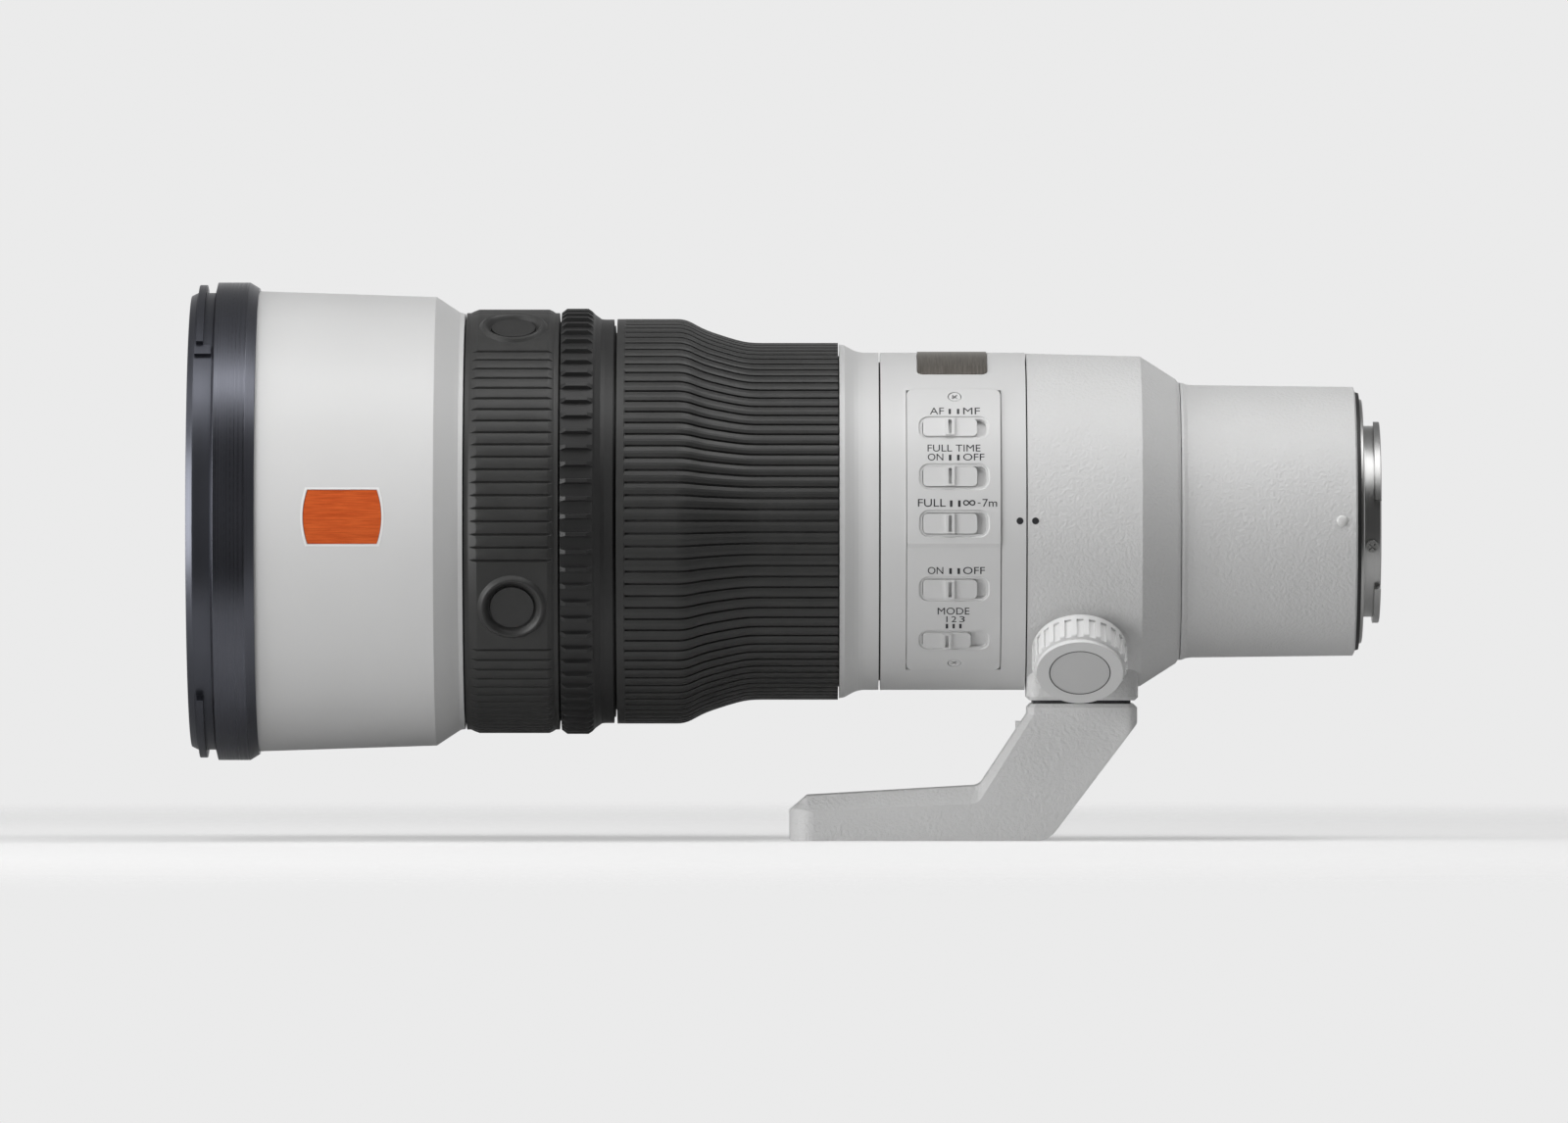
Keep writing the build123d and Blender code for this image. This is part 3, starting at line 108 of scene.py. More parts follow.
def stretched(nodes, links, place, scale):
    """Coordinates stretched by three factors."""
    node = nodes.new("ShaderNodeMapping")
    node.inputs["Scale"].default_value = scale
    links.new(place, node.inputs["Vector"])
    return node.outputs["Vector"]


def along_and_out(nodes, links, place):
    """Distance along the optical axis and out from it, for lines turned on a lathe."""
    x, y, z = parts_of(nodes, links, place)
    flat = nodes.new("ShaderNodeCombineXYZ")
    links.new(y, flat.inputs["Y"])
    links.new(z, flat.inputs["Z"])
    both = nodes.new("ShaderNodeCombineXYZ")
    links.new(x, both.inputs["X"])
    links.new(length_of(nodes, links, flat.outputs[0]), both.inputs["Y"])
    return both.outputs[0]


def noise(nodes, links, place, scale, detail=2.0, rough=0.5):
    """Random tone from 0 to 1, with that many changes in a metre."""
    node = nodes.new("ShaderNodeTexNoise")
    node.inputs["Scale"].default_value = scale
    node.inputs["Detail"].default_value = detail
    node.inputs["Roughness"].default_value = rough
    links.new(place, node.inputs["Vector"])
    return node.outputs["Fac"]


def between(nodes, links, value, low, high, from_low=0.3, from_high=0.7):
    """Carry a value's range over to another, and hold it at the ends."""
    node = nodes.new("ShaderNodeMapRange")
    node.inputs["From Min"].default_value = from_low
    node.inputs["From Max"].default_value = from_high
    node.inputs["To Min"].default_value = low
    node.inputs["To Max"].default_value = high
    links.new(value, node.inputs["Value"])
    return node.outputs["Result"]


def two_colours(nodes, links, value, dark, light):
    """Blend from one colour to another as the value rises."""
    node = nodes.new("ShaderNodeValToRGB")
    for element, position, colour in zip(node.color_ramp.elements, (0.3, 0.7), (dark, light)):
        element.position = position
        element.color = (*colour, 1)
    links.new(value, node.inputs["Fac"])
    return node.outputs["Color"]


def bump(nodes, links, height, distance, normal=None):
    """Relief of that many millimetres, over another normal where one is given."""
    node = nodes.new("ShaderNodeBump")
    node.inputs["Strength"].default_value = 1.0
    node.inputs["Distance"].default_value = distance * MM
    links.new(height, node.inputs["Height"])
    if normal is not None:
        links.new(normal, node.inputs["Normal"])
    return node.outputs["Normal"]


def soft_edges(nodes, radius):
    """A normal that rounds the edges by that many millimetres."""
    node = nodes.new("ShaderNodeBevel")
    node.samples = 4
    node.inputs["Radius"].default_value = radius * MM
    return node.outputs["Normal"]


def rib_swell(nodes, links, place, ribs):
    """Height of ribs that run along the axis: low at each groove, full between and on the front flange."""
    x, y, z = parts_of(nodes, links, place)
    angle = worked_out(nodes, links, "ARCTAN2", z, y)
    count = worked_out(nodes, links, "MULTIPLY", angle, ribs / (2 * pi))
    from_groove = worked_out(nodes, links, "PINGPONG", count, 0.5)
    swell = between(nodes, links, from_groove, 0.0, 1.0, 0.0, RIB_SLOPE)
    flange = between(nodes, links, x, 1.0, 0.0, (RIBS_FROM_X - RIB_RUN_IN) * MM, RIBS_FROM_X * MM)
    return worked_out(nodes, links, "MAXIMUM", swell, flange)


# The kinds of material: sizes of grain, relief and edge are in millimetres

# Slow changes of tone, in changes per metre
PAINT_DRIFT, METAL_DRIFT, GLASS_DRIFT, DUST_PATCHES, FLOOR_SPECKS = 28.0, 60.0, 18.0, 95.0, 700.0
# How much lighter the dusty patches of rubber and the light patches of metal are
DUSTY, METAL_LIGHT = 1.35, 1.12
RUBBER_EDGE = 0.12
HAIR_RELIEF = 0.004


def painted(name, colour, grain, depth, roughness, edge=0.2, variation=0.02):
    """Paint: a grain of bumps, a slow drift of tone, and edges rounded by the coat."""
    mat, nodes, links, shader, place = new_material(name)
    fine = noise(nodes, links, place, 1 / (grain * MM), 3.0, 0.55)
    slow = noise(nodes, links, place, PAINT_DRIFT)
    dark = [c * (1 - variation) for c in colour]
    light = [c * (1 + variation) for c in colour]
    links.new(two_colours(nodes, links, slow, dark, light), shader.inputs["Base Color"])
    links.new(between(nodes, links, fine, roughness - 0.04, roughness + 0.05), shader.inputs["Roughness"])
    links.new(bump(nodes, links, fine, depth, soft_edges(nodes, edge)), shader.inputs["Normal"])
    return mat


def rubber(name, colour, roughness, grain=0.16, depth=0.012, ribs=0):
    """Rubber: a fine grain, patches made greyer by dust and handling, and ribs that swell between grooves."""
    mat, nodes, links, shader, place = new_material(name)
    fine = noise(nodes, links, place, 1 / (grain * MM), rough=0.6)
    worn = noise(nodes, links, place, DUST_PATCHES, 4.0, 0.6)
    dusty = [c * DUSTY for c in colour]
    links.new(two_colours(nodes, links, worn, colour, dusty), shader.inputs["Base Color"])
    links.new(between(nodes, links, fine, roughness - 0.05, roughness + 0.08), shader.inputs["Roughness"])
    normal = soft_edges(nodes, RUBBER_EDGE)
    if ribs:
        normal = bump(nodes, links, rib_swell(nodes, links, place, ribs), RIB_SWELL, normal)
    links.new(bump(nodes, links, fine, depth, normal), shader.inputs["Normal"])
    shader.inputs["Specular IOR Level"].default_value = 0.5
    shader.inputs["Sheen Weight"].default_value = 0.02
    shader.inputs["Sheen Roughness"].default_value = 0.4
    return mat


def turned_metal(name, colour, roughness, metallic=1.0, line=0.12, depth=0.002, edge=0.12):
    """Metal off a lathe: fine lines round the optical axis."""
    mat, nodes, links, shader, place = new_material(name)
    lines = noise(nodes, links, along_and_out(nodes, links, place), 1 / (line * MM), 3.0, 0.7)
    slow = noise(nodes, links, place, METAL_DRIFT)
    light = [min(1.0, c * METAL_LIGHT) for c in colour]
    links.new(two_colours(nodes, links, slow, colour, light), shader.inputs["Base Color"])
    links.new(between(nodes, links, lines, roughness - 0.05, roughness + 0.07), shader.inputs["Roughness"])
    links.new(bump(nodes, links, lines, depth, soft_edges(nodes, edge)), shader.inputs["Normal"])
    shader.inputs["Metallic"].default_value = metallic
    return mat


def brushed(name, colour, light, roughness, stretch, metallic=1.0):
    """Metal brushed one way: hair lines stretched along the brushing."""
    mat, nodes, links, shader, place = new_material(name)
    hair = noise(nodes, links, stretched(nodes, links, place, stretch), 1.0, 4.0, 0.65)
    links.new(two_colours(nodes, links, hair, colour, light), shader.inputs["Base Color"])
    links.new(between(nodes, links, hair, roughness - 0.06, roughness + 0.06), shader.inputs["Roughness"])
    links.new(bump(nodes, links, hair, HAIR_RELIEF), shader.inputs["Normal"])
    shader.inputs["Metallic"].default_value = metallic
    return mat


def glass(name):
    """Coated glass: dark behind, with a faint green and violet sheen that drifts."""
    mat, nodes, links, shader, place = new_material(name)
    drift = noise(nodes, links, place, GLASS_DRIFT, 1.0)
    tint = two_colours(nodes, links, drift, (0.55, 0.62, 0.85), (0.62, 0.80, 0.68))
    links.new(tint, shader.inputs["Specular Tint"])
    links.new(between(nodes, links, drift, 0.015, 0.03), shader.inputs["Roughness"])
    shader.inputs["Base Color"].default_value = (0.86, 0.9, 0.92, 1)
    shader.inputs["Transmission Weight"].default_value = 1.0
    shader.inputs["IOR"].default_value = 1.5
    return mat


FINISHES = (
    ("white_satin", painted, (0.755, 0.755, 0.752), 0.42, 0.006, 0.40),
    ("white_crinkle", painted, (0.775, 0.775, 0.772), 0.8, 0.24, 0.46, 0.3),
    ("switch_white", painted, (0.76, 0.76, 0.757), 0.3, 0.004, 0.36, 0.1),
    ("knob_white", painted, (0.79, 0.79, 0.787), 0.3, 0.005, 0.36, 0.12),
    ("knob_cap", painted, (0.66, 0.66, 0.658), 0.28, 0.02, 0.5, 0.15),
    ("black_anodised", turned_metal, (0.116, 0.120, 0.140), 0.30, 1.0, 0.16, 0.002, 0.25),
    ("rim_anodised", turned_metal, (0.102, 0.106, 0.124), 0.36, 1.0, 0.16, 0.003, 0.25),
    ("band_rubber", rubber, (0.0285, 0.0285, 0.0278), 0.46),
    ("button_rubber", rubber, (0.025, 0.025, 0.0244), 0.44, 0.2, 0.006),
    ("grip_rubber", rubber, (0.0285, 0.0285, 0.0278), 0.46, 0.16, 0.012, GRIP_RIBS),
    ("ring_rubber", rubber, (0.016, 0.016, 0.016), 0.44, 0.2, 0.006),
    # Seal rubber, also used for the dark sheet of painted shade between the collar's boss and the foot
    ("seal_rubber", rubber, (0.014, 0.014, 0.014), 0.55),
    ("brake_rubber", rubber, (0.03, 0.03, 0.03), 0.6),
    ("inner_metal", turned_metal, (0.015, 0.015, 0.015), 0.45, 0.0),
    ("inner_black", painted, (0.012, 0.012, 0.012), 0.3, 0.01, 0.6, 0.1, 0.15),
    ("coated_glass", glass),
    ("badge_orange", brushed, (0.70, 0.09, 0.014), (0.95, 0.18, 0.035), 0.42, (120, 3200, 3200), 0.35),
    ("name_metal", brushed, (0.17, 0.155, 0.135), (0.34, 0.315, 0.28), 0.36, (3600, 130, 130), 0.8),
    ("mount_steel", turned_metal, (0.46, 0.46, 0.455), 0.31, 1.0, 0.10, 0.003, 0.1),
    ("screw_steel", turned_metal, (0.42, 0.42, 0.41), 0.3),
    ("contact_gold", brushed, (0.75, 0.50, 0.14), (0.86, 0.62, 0.22), 0.25, (900, 900, 900)),
    ("board_green", painted, (0.01, 0.10, 0.035), 0.6, 0.008, 0.35, 0.1, 0.1),
    ("iris_black", painted, (0.014, 0.014, 0.014), 0.25, 0.004, 0.42, 0.05, 0.1),
    ("ink_grey", painted, (0.028, 0.028, 0.032), 0.2, 0.002, 0.5, 0.02, 0.08),
    # Bright white of the painted highlight round the badge plate
    ("frame_white", painted, (0.93, 0.93, 0.93), 0.2, 0.002, 0.3, 0.02),
    # Dark grey of the painted shade in the gap round the knob's cap
    ("seam_grey", painted, (0.10, 0.10, 0.10), 0.2, 0.002, 0.6, 0.02),
    ("dot_white", painted, (0.80, 0.80, 0.79), 0.2, 0.002, 0.3, 0.05),
)
MATERIALS = {name: make(name, *values) for name, make, *values in FINISHES}

# Two nodes look unlike the rest of their slot
OWN_FINISH = {"function_ring": "ring_rubber", "hood_bayonet_ring": "rim_anodised"}

for row in frame["record"]["subparts"]:
    finish = OWN_FINISH.get(row["node"], row["material_slot"])
    for slot in frame["nodes"][row["node"]].material_slots:
        slot.material = MATERIALS[finish]


# Places and mesh pieces

def wrap(x, angle, radius):
    """A point at x along the axis, turned up from the switch side by angle, at that radius."""
    a = radians(angle)
    return (x * MM, -radius * cos(a) * MM, radius * sin(a) * MM)


def seen(px, py, radius):
    """Where a pixel of the photo falls on a cylinder round the axis: along the axis, and up."""
    z = -(py - AXIS_Y) * PX
    nearer = sqrt(max(0.0, radius ** 2 - z ** 2))
    for _ in range(3):
        shrink = 1 - nearer * MM / CAMERA_DISTANCE
        z = -(py - AXIS_Y) * PX * shrink - (AXIS_Y - FRAME_CENTRE[1]) * PX * (shrink - 1)
        nearer = sqrt(max(0.0, radius ** 2 - z ** 2))
    return (CENTRE_X + (px - FRAME_CENTRE[0]) * PX * shrink, z)


def on_cylinder(x, z, radius):
    """The point of the switch side at that place along the axis, height and radius."""
    return (x * MM, -sqrt(radius ** 2 - z ** 2) * MM, z * MM)


def steps(low, high, count):
    """Values from low to high in that many equal steps, both ends included."""
    return [low + (high - low) * i / count for i in range(count + 1)]


def strip(start, count):
    """Faces that close the gap between one loop of points, which begins at start, and the next."""
    faces = []
    for i in range(count):
        j = (i + 1) % count
        faces.append((start + i, start + count + i, start + count + j, start + j))
    return faces


def strip_other_way(start, count):
    """The same faces, turned to look the other way."""
    return [(a, d, c, b) for a, b, c, d in strip(start, count)]


def piece(name, points, faces, finish, body, stands_for=(), smooth_below=35):
    """A mesh that rides on a body, and takes the place of the nodes it stands for."""
    mesh = bpy.data.meshes.new(name)
    mesh.from_pydata(points, [], faces)
    mesh.validate()
    obj = bpy.data.objects.new(name, mesh)
    bpy.context.collection.objects.link(obj)
    mesh.materials.append(MATERIALS[finish])
    mesh.shade_smooth()
    mesh.set_sharp_from_angle(angle=radians(smooth_below))
    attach(obj, body)
    if stands_for:
        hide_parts(*stands_for)


# Button band: grooves with rounded lands, and a smooth pad with a raised ring round each button

BUTTON_X = -203.8
BUTTON_ANGLES = (-24, 66, 156, 246)
BAND_X = (-215.2, -192.9)
BAND_FLAT = (-212.2, -195.4)
BAND_R = 51.0
BAND_EDGE_R = 50.15
BAND_INNER_R = 48.6
BAND_LIP, LIP_MIDDLE, LIP_END = 1.0, 0.3, 0.9
BAND_SLOPE = 0.8
END_POINTS = 180
PAD_HALF = 13.25
RIBS = 18
RIB_PITCH = (90 - 2 * PAD_HALF) / RIBS
RIB_DROP = 0.10
GROOVE_HALF = 0.33
GROOVE_FLOOR_R = 50.35
GROOVE_CURVE = 1.4
# Stations across a groove and across the land after it, in shares of their widths
GROOVE_STATIONS = (-1, -0.75, -0.4, -0.12, 0.12, 0.4, 0.75, 1)
LAND_STATIONS = (0.12, 0.3, 0.5, 0.7, 0.88)
# Round each button: distance from its middle, height over the band
BUTTON_RING = ((5.35, -2.4), (5.35, -0.85), (5.7, -0.72), (6.0, -0.35), (6.3, 0.15), (6.6, 0.58),
               (6.95, 0.84), (7.3, 0.86), (7.65, 0.64), (7.95, 0.26), (8.25, 0.0))
MM_PER_DEGREE = BAND_R * pi / 180


def band_radius(x):
    """Outline of the band: a low flange at each end, a slope, and the flat middle."""
    for edge, flat, way in ((BAND_X[0], BAND_FLAT[0], 1), (BAND_X[1], BAND_FLAT[1], -1)):
        foot = edge + way * BAND_LIP
        if (flat - x) * way > 0:
            part = (x - foot) / (flat - foot)
            return BAND_EDGE_R + (BAND_R - BAND_EDGE_R) * max(0.0, min(1.0, part)) ** BAND_SLOPE
    return BAND_R


def groove_radius(away):
    """Radius of the ribbed band at that many millimetres from the middle of the nearest groove."""
    if away >= GROOVE_HALF:
        land = (away - GROOVE_HALF) / (RIB_PITCH / 2 * MM_PER_DEGREE - GROOVE_HALF)
        return BAND_R - RIB_DROP * (1 - land) ** 2
    return GROOVE_FLOOR_R + (BAND_R - RIB_DROP - GROOVE_FLOOR_R) * (away / GROOVE_HALF) ** GROOVE_CURVE


def band_grid(points, faces, xs, angles, first_groove=None):
    """A patch of the band over those places and angles, with grooves if the first one's angle is given."""
    start = len(points)
    for a in angles:
        for x in xs:
            r = band_radius(x)
            if first_groove is not None:
                off = (a - first_groove + RIB_PITCH / 2) % RIB_PITCH - RIB_PITCH / 2
                r = min(r, groove_radius(abs(off) * MM_PER_DEGREE))
            points.append(wrap(x, a, r))
    n = len(xs)
    for j in range(len(angles) - 1):
        for i in range(n - 1):
            k = start + j * n + i
            faces.append((k, k + 1, k + n + 1, k + n))


def button_pad(points, faces, angle, half_s):
    """The smooth pad round one button: rings of points out from the hole, then the pad's straight edges."""
    half_x = BAND_FLAT[1] - BUTTON_X
    corner = degrees(atan2(half_s, half_x))
    turns = sorted(set(range(0, 360, 6)) | {corner, 180 - corner, 180 + corner, 360 - corner})
    rings = [[(rho * cos(radians(t)), rho * sin(radians(t)), BAND_R + h) for t in turns]
             for rho, h in BUTTON_RING]
    edge = []
    for t in turns:
        c, s = cos(radians(t)), sin(radians(t))
        reach = min(half_x / max(abs(c), 1e-9), half_s / max(abs(s), 1e-9))
        edge.append((reach * c, reach * s, BAND_R))
    middle = [((a[0] + b[0]) / 2, (a[1] + b[1]) / 2, BAND_R) for a, b in zip(rings[-1], edge)]
    rings += [middle, edge]
    start = len(points)
    for ring in rings:
        points += [wrap(BUTTON_X + x, angle + degrees(s / BAND_R), r) for x, s, r in ring]
    for k in range(len(rings) - 1):
        faces += strip(start + k * len(turns), len(turns))


def button_band():
    """The whole band: four pads, the ribbed stretches between them and the two ends."""
    points, faces = [], []
    groove = GROOVE_HALF / MM_PER_DEGREE
    left = [BAND_X[0], BAND_X[0] + LIP_MIDDLE] + steps(BAND_X[0] + LIP_END, BAND_FLAT[0], 12)
    right = steps(BAND_FLAT[1], BAND_X[1] - LIP_END, 12) + [BAND_X[1] - LIP_MIDDLE, BAND_X[1]]
    half_s = (PAD_HALF - groove) * MM_PER_DEGREE
    land = RIB_PITCH - 2 * groove
    for angle in BUTTON_ANGLES:
        pad_angles = steps(angle - PAD_HALF + groove, angle + PAD_HALF - groove, 26)
        band_grid(points, faces, left, pad_angles)
        band_grid(points, faces, right, pad_angles)
        button_pad(points, faces, angle, half_s)
        first = angle + PAD_HALF
        angles = []
        for i in range(RIBS + 1):
            middle = first + i * RIB_PITCH
            angles += [middle + groove * k for k in GROOVE_STATIONS]
            if i < RIBS:
                angles += [middle + groove + land * k for k in LAND_STATIONS]
        band_grid(points, faces, left + steps(*BAND_FLAT, 6)[1:-1] + right, angles, first)
    for x in BAND_X:
        start = len(points)
        for radius in (BAND_EDGE_R, BAND_INNER_R):
            points += [wrap(x, i * 360 / END_POINTS, radius) for i in range(END_POINTS)]
        faces += strip_other_way(start, END_POINTS)
    piece("band_cover", points, faces, "band_rubber", ROOT, ("button_band",), 30)


button_band()


# Words, marks and dots

PANEL_UPPER_R, PANEL_LOWER_R = 41.1, 40.75
INK = 0.03


def outline_of(text):
    """The points of a word's letters, from 0 to 1 both ways, and the faces that fill them."""
    curve = bpy.data.curves.new("word", "FONT")
    curve.body = text
    curve.resolution_u = 4
    holder = bpy.data.objects.new("word", curve)
    mesh = bpy.data.meshes.new_from_object(holder)
    low = [min(v.co[i] for v in mesh.vertices) for i in (0, 1)]
    high = [max(v.co[i] for v in mesh.vertices) for i in (0, 1)]
    flat = [((v.co.x - low[0]) / (high[0] - low[0]), (v.co.y - low[1]) / (high[1] - low[1]))
            for v in mesh.vertices]
    loops = [tuple(p.vertices) for p in mesh.polygons]
    bpy.data.objects.remove(holder)
    bpy.data.curves.remove(curve)
    bpy.data.meshes.remove(mesh)
    return flat, loops


def lettering(name, marks, radius):
    """Words and tick marks on the barrel: each is its text, then its left, top, right and bottom pixel."""
    points, faces = [], []
    for text, left, top, right, bottom in marks:
        (x0, z1), (x1, z0) = seen(left, top, radius), seen(right, bottom, radius)
        if text == "|":
            flat, loops = [(0, 0), (1, 0), (1, 1), (0, 1)], [(0, 1, 2, 3)]
        else:
            flat, loops = outline_of(text)
        start = len(points)
        points += [on_cylinder(x0 + u * (x1 - x0), z0 + v * (z1 - z0), radius + INK) for u, v in flat]
        faces += [tuple(start + i for i in loop) for loop in loops]
    piece(name, points, faces, "ink_grey", ROOT)


# The print on the panel's two levels: text, then left, top, right and bottom in pixels of the photo
UPPER_PRINT = (
    ("AF", 948.7, 416.0, 963.2, 422.9),
    ("|", 967.9, 417.2, 970.3, 422.6),
    ("|", 976.4, 417.2, 978.9, 422.6),
    ("MF", 982.8, 416.0, 1000.0, 422.9),
    ("FULL TIME", 946.5, 453.8, 1000.5, 460.8),
    ("ON", 946.7, 462.9, 962.5, 469.9),
    ("|", 968.2, 464.0, 970.8, 469.9),
    ("|", 976.6, 464.0, 979.2, 469.9),
    ("OFF", 982.8, 462.9, 1004.5, 469.9),
    ("FULL", 936.7, 509.2, 965.0, 517.1),
    ("|", 969.3, 510.6, 971.9, 517.2),
    ("|", 977.6, 510.6, 980.2, 517.2),
    ("∞", 982.7, 510.2, 995.3, 516.0),
    ("-", 997.7, 512.9, 1000.6, 513.8),
    ("7m", 1002.5, 509.2, 1017.4, 517.1),
)
LOWER_PRINT = (
    ("ON", 946.7, 578.6, 962.5, 585.9),
    ("|", 968.6, 579.9, 971.2, 585.8),
    ("|", 977.0, 579.9, 979.6, 585.8),
    ("OFF", 982.8, 578.6, 1005.0, 585.9),
    ("MODE", 956.8, 620.1, 989.2, 627.2),
    ("|", 965.6, 628.9, 966.8, 634.9),
    ("2", 970.8, 628.9, 975.9, 634.9),
    ("3", 978.9, 628.9, 984.4, 634.9),
    ("|", 965.0, 636.7, 967.4, 641.3),
    ("|", 971.9, 636.7, 974.2, 641.3),
    ("|", 978.8, 636.7, 981.2, 641.3),
)

lettering("panel_words_upper", UPPER_PRINT, PANEL_UPPER_R)
lettering("panel_words_lower", LOWER_PRINT, PANEL_LOWER_R)

BADGE_X, BADGE_Z = -244.1, 0.95
BADGE_HALF = (9.4, 6.5)
BADGE_BULGE = 1.1
# Painted highlight: a band of brighter white round the badge plate stands for the lit rim round it
BADGE_HIGHLIGHT_BAND = (0.02, 0.5)
BADGE_HIGHLIGHT_LIFT = 0.04
# Steps from the middle of a side, and of the top, to the corner
SIDE_STEPS, TOP_STEPS = 8, 6
# The front barrel: its front, the radius there and the loss of radius for each millimetre
BARREL_FRONT_X, BARREL_FRONT_R, BARREL_TAPER = -265.1, 55.4, 0.0329


def badge_rim_highlight():
    """A thin bright band of painted highlight round the badge plate, on the conical barrel, standing for its
    lit rim.
    """
    points = []
    for out in BADGE_HIGHLIGHT_BAND:
        half_x, half_z = BADGE_HALF[0] + out, BADGE_HALF[1] + out
        right = [(half_x - BADGE_BULGE * (v / SIDE_STEPS) ** 2, half_z * v / SIDE_STEPS)
                 for v in range(-SIDE_STEPS, SIDE_STEPS + 1)]
        top = [(right[-1][0] * (1 - u / TOP_STEPS), half_z) for u in range(1, 2 * TOP_STEPS)]
        loop = right + top + [(-x, -z) for x, z in right + top]
        for x, z in loop:
            radius = BARREL_FRONT_R - BARREL_TAPER * (BADGE_X + x - BARREL_FRONT_X)
            points.append(on_cylinder(BADGE_X + x, BADGE_Z + z, radius + BADGE_HIGHLIGHT_LIFT))
    piece("badge_rim_highlight", points, strip(0, len(loop)), "frame_white", ROOT)


badge_rim_highlight()

# Painted shade: a thin dark sheet fills the gap between the collar's boss and the foot, where there is only
# shade
GAP_SHADE_X = (-79.2, -55.8)
GAP_SHADE_HALF_Y = 17.1
GAP_SHADE_Z = (-43.02, -43.78)
GAP_SHADE_CORNER = 2.0


def foot_gap_shade():
    """A dark sheet of painted shade in the gap between the collar's boss and the foot."""
    left, right = GAP_SHADE_X[0] + GAP_SHADE_CORNER, GAP_SHADE_X[1] - GAP_SHADE_CORNER
    back = GAP_SHADE_HALF_Y - GAP_SHADE_CORNER
    loop = []
    for x, y, first in ((right, back, 0), (left, back, 90), (left, -back, 180), (right, -back, 270)):
        for turn in range(first, first + 91, 15):
            a = radians(turn)
            loop.append((x + GAP_SHADE_CORNER * cos(a), y + GAP_SHADE_CORNER * sin(a)))
    points = [(x * MM, y * MM, z * MM) for z in GAP_SHADE_Z for x, y in loop]
    piece("foot_gap_shade", points, strip_other_way(0, len(loop)), "seal_rubber", "tripod_collar")


foot_gap_shade()

KNOB_X = -68.3
KNOB_FACE_OUT = 51.32
# Painted shade: a thin dark ring on the knob's face stands for the shadowed gap round its cap
CAP_GAP_SHADE_R = (7.1, 7.36)
CAP_GAP_SHADE_POINTS = 72


def cap_gap_shade():
    """A fine dark ring of painted shade for the gap round the knob's cap, on the knob's face, which looks
    down at 45 degrees.
    """
    points, half_way = [], sqrt(0.5)
    for radius in CAP_GAP_SHADE_R:
        for i in range(CAP_GAP_SHADE_POINTS):
            a = 2 * pi * i / CAP_GAP_SHADE_POINTS
            side = radius * sin(a)
            points.append(((KNOB_X + radius * cos(a)) * MM, -half_way * (KNOB_FACE_OUT + side) * MM,
                           -half_way * (KNOB_FACE_OUT - side) * MM))
    piece("cap_gap_shade", points, strip(0, CAP_GAP_SHADE_POINTS), "seam_grey", "clamp_knob")


cap_gap_shade()

# A dot's rings: distance out and height, in shares of its size and height
DOT_RINGS = ((0.55, 0.92), (0.82, 0.7), (0.95, 0.4), (1.0, 0.0))
DOT_POINTS = 24
# Where the dots are in the photo, in pixels, and the radius each lies on, its size and its height
BARREL_DOT, COLLAR_DOT, MOUNT_DOT = (1040.8, 531.6), (1056.6, 531.6), (1369.6, 531.7)
BARREL_DOT_R, COLLAR_DOT_R, MOUNT_DOT_R = 40.6, 40.4, 32.37
INDEX_SIZE, INDEX_HEIGHT = 0.83, 0.035
MOUNT_SIZE, MOUNT_HEIGHT = 1.35, 0.55


def dot(name, pixel, radius, size, height, finish, body):
    """A round mark on the barrel, painted where height is small and domed where it is larger."""
    x, z = seen(*pixel, radius)
    points, faces = [on_cylinder(x, z, radius + height)], []
    for out, up in DOT_RINGS:
        for i in range(DOT_POINTS):
            turn = 2 * pi * i / DOT_POINTS
            points.append(on_cylinder(x + size * out * cos(turn), z + size * out * sin(turn),
                                      radius + INK + (height - INK) * up))
    for i in range(DOT_POINTS):
        faces.append((0, 1 + i, 1 + (i + 1) % DOT_POINTS))
    for k in range(len(DOT_RINGS) - 1):
        faces += strip(1 + k * DOT_POINTS, DOT_POINTS)
    piece(name, points, faces, finish, body)


dot("index_dot_barrel", BARREL_DOT, BARREL_DOT_R, INDEX_SIZE, INDEX_HEIGHT, "ink_grey", ROOT)
dot("index_dot_collar", COLLAR_DOT, COLLAR_DOT_R, INDEX_SIZE, INDEX_HEIGHT, "ink_grey", "tripod_collar")
dot("mount_dot", MOUNT_DOT, MOUNT_DOT_R, MOUNT_SIZE, MOUNT_HEIGHT, "dot_white", ROOT)


# Camera

SENSOR_WIDTH = 36.0
camera_data = bpy.data.cameras.new("camera")
camera_data.sensor_width = SENSOR_WIDTH
camera_data.lens = SENSOR_WIDTH * CAMERA_DISTANCE / (PHOTO_WIDTH * PX * MM)
camera_data.clip_end = 50.0
camera = bpy.data.objects.new("camera", camera_data)
camera.location = (CENTRE_X * MM, -CAMERA_DISTANCE, (AXIS_Y - FRAME_CENTRE[1]) * PX * MM)
camera.rotation_euler = (radians(90), 0, 0)
bpy.context.collection.objects.link(camera)
bpy.context.scene.camera = camera


# Floor: the numbers are metres, or shares of full brightness

BACKGROUND = 0.83
FLOOR_Z = -0.0767
FLOOR_HALF, FLOOR_CUTS = 1.2, 12
FLOOR_DARK, FLOOR_LIGHT = (0.56, 0.56, 0.56), (0.60, 0.60, 0.60)
FLOOR_TOP_UP = 0.42
FLOOR_FADE = (0.28, 0.75)
# In gloss the floor gets a share of the top-up in front of the object, and ends further in front
GLOSS_TOP_UP, GLOSS_TOP_UP_Y = 0.34, (-0.07, -0.02)
GLOSS_END_Y = (-0.17, -0.10)


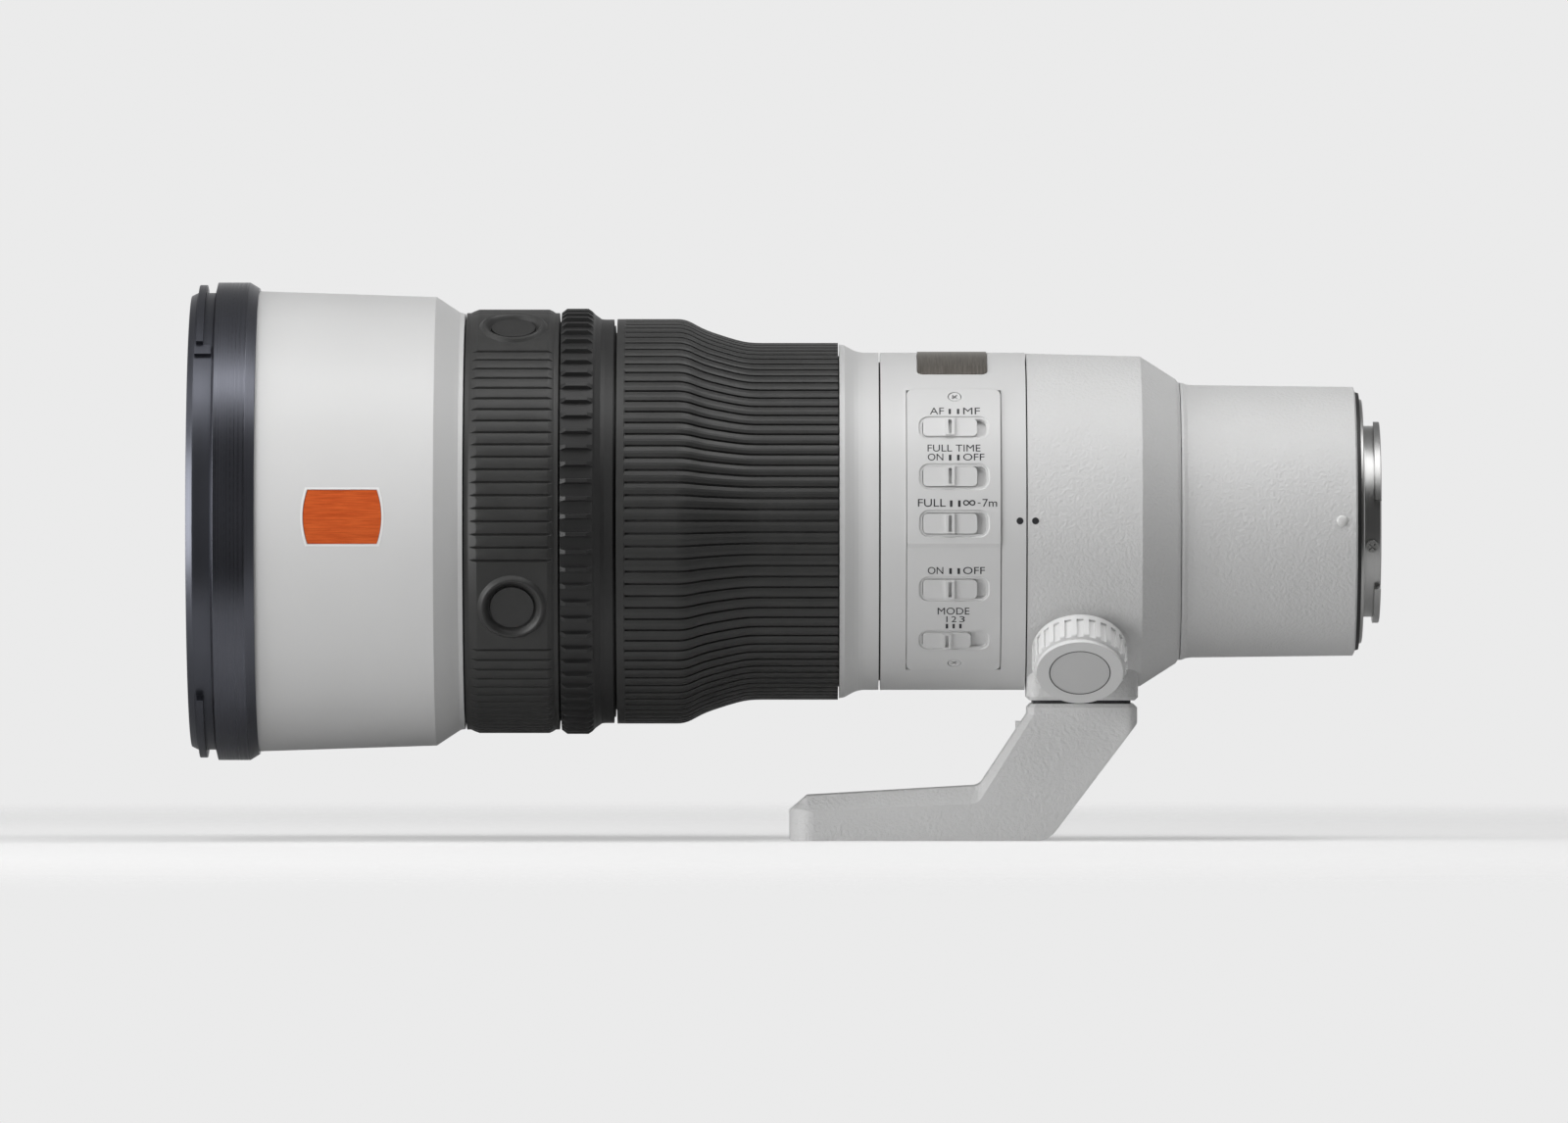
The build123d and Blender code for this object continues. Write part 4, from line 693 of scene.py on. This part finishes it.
def floor_material():
    """Pale floor that keeps the shadow and fades out into the background away from the object."""
    mat, nodes, links, shader, place = new_material("floor")
    speck = noise(nodes, links, place, FLOOR_SPECKS, 3.0)
    links.new(two_colours(nodes, links, speck, FLOOR_DARK, FLOOR_LIGHT), shader.inputs["Base Color"])
    shader.inputs["Roughness"].default_value = 0.9
    shader.inputs["Specular IOR Level"].default_value = 0.1
    shader.inputs["Emission Color"].default_value = (1, 1, 1, 1)
    path = nodes.new("ShaderNodeLightPath").outputs
    across = parts_of(nodes, links, place)[1]
    in_gloss = between(nodes, links, across, GLOSS_TOP_UP, 0.0, *GLOSS_TOP_UP_Y)
    shown = worked_out(nodes, links, "MULTIPLY_ADD", path["Is Glossy Ray"], in_gloss, path["Is Camera Ray"])
    links.new(worked_out(nodes, links, "MULTIPLY", shown, FLOOR_TOP_UP), shader.inputs["Emission Strength"])
    centred = nodes.new("ShaderNodeMapping")
    centred.inputs["Location"].default_value = -MIDDLE
    links.new(place, centred.inputs["Vector"])
    fade = nodes.new("ShaderNodeMapRange")
    fade.interpolation_type = "SMOOTHSTEP"
    fade.inputs["From Min"].default_value, fade.inputs["From Max"].default_value = FLOOR_FADE
    links.new(length_of(nodes, links, centred.outputs[0]), fade.inputs["Value"])
    far_in_front = between(nodes, links, across, 1.0, 0.0, *GLOSS_END_Y)
    ended = worked_out(nodes, links, "MULTIPLY", far_in_front, path["Is Glossy Ray"])
    mix = nodes.new("ShaderNodeMixShader")
    links.new(worked_out(nodes, links, "MAXIMUM", fade.outputs[0], ended), mix.inputs[0])
    links.new(shader.outputs[0], mix.inputs[1])
    links.new(nodes.new("ShaderNodeBsdfTransparent").outputs[0], mix.inputs[2])
    links.new(mix.outputs[0], nodes["Material Output"].inputs["Surface"])
    return mat


def floor():
    """The square that the object stands on, cut into a grid."""
    row = FLOOR_CUTS + 1
    across = steps(-FLOOR_HALF, FLOOR_HALF, FLOOR_CUTS)
    points = [(MIDDLE.x + x, y, FLOOR_Z) for y in across for x in across]
    corners = [j * row + i for j in range(FLOOR_CUTS) for i in range(FLOOR_CUTS)]
    mesh = bpy.data.meshes.new("floor")
    mesh.from_pydata(points, [], [(k, k + 1, k + row + 1, k + row) for k in corners])
    mesh.materials.append(floor_material())
    obj = bpy.data.objects.new("floor", mesh)
    bpy.context.collection.objects.link(obj)


floor()


# Lamps: name, azimuth, elevation, distance, shift along the lens, width, height, power.
# Azimuth 0 is the camera's side and 90 its left. Every lamp faces the middle of the object.

LAMPS = (
    ("over_rear", 0, 71, 1.3, 0.45, 1.2, 1.0, 7.8),
    ("over_front", 0, 71, 1.3, -0.55, 1.0, 1.0, 4.8),
    ("left_fill", 50, 3, 1.1, 0.0, 0.8, 0.8, 7.7),
    ("over_right", -78, 62, 1.1, 0.0, 0.5, 0.5, 1.5),
    ("left_side", 78, 2, 1.0, 0.0, 0.8, 0.8, 5.2),
)

for name, azimuth, elevation, distance, shift, width, height, power in LAMPS:
    a, e = radians(azimuth), radians(elevation)
    data = bpy.data.lights.new(name, "AREA")
    data.shape = "RECTANGLE"
    data.size, data.size_y = width, height
    data.energy = power
    lamp = bpy.data.objects.new(name, data)
    lamp.location = MIDDLE + distance * Vector((-sin(a) * cos(e), -cos(a) * cos(e), sin(e)))
    lamp.location.x += shift
    lamp.rotation_euler = (MIDDLE - lamp.location).to_track_quat("-Z", "Y").to_euler()
    bpy.context.collection.objects.link(lamp)


# World: in gloss it is pale behind the object, darker on the camera's side and darker above and below

AMBIENT = 0.012
GLOSS_FRONT, GLOSS_Y = 0.08, (-0.6, 0.25)
GLOSS_ABOVE, GLOSS_HEIGHT = 0.3, (0.1, 0.55)


def blend(nodes, links, share, low, high):
    """Go from the low value to the high one by that share."""
    mix = nodes.new("ShaderNodeMix")
    links.new(share, mix.inputs["Factor"])
    set_or_link(links, mix.inputs["A"], low)
    set_or_link(links, mix.inputs["B"], high)
    return mix.outputs["Result"]


def studio_world():
    """Pale to the camera, nearly dark as a source of light, and shaped where it shows in gloss or glass."""
    world = bpy.data.worlds.new("studio")
    bpy.context.scene.world = world
    world.use_nodes = True
    nodes, links = world.node_tree.nodes, world.node_tree.links
    back = nodes["Background"]
    back.inputs["Color"].default_value = (1, 1, 1, 1)
    path = nodes.new("ShaderNodeLightPath").outputs
    _, y, z = parts_of(nodes, links, nodes.new("ShaderNodeTexCoord").outputs["Generated"])
    behind = between(nodes, links, y, GLOSS_FRONT, BACKGROUND, *GLOSS_Y)
    level = between(nodes, links, worked_out(nodes, links, "ABSOLUTE", z), 1.0, GLOSS_ABOVE, *GLOSS_HEIGHT)
    backdrop = worked_out(nodes, links, "MULTIPLY", behind, level)
    gloss = worked_out(nodes, links, "MAXIMUM", path["Is Glossy Ray"], path["Is Transmission Ray"])
    light = blend(nodes, links, gloss, AMBIENT, backdrop)
    links.new(blend(nodes, links, path["Is Camera Ray"], light, BACKGROUND), back.inputs["Strength"])


studio_world()
bpy.context.scene.view_settings.view_transform = "Standard"

bpy.context.view_layer.update()
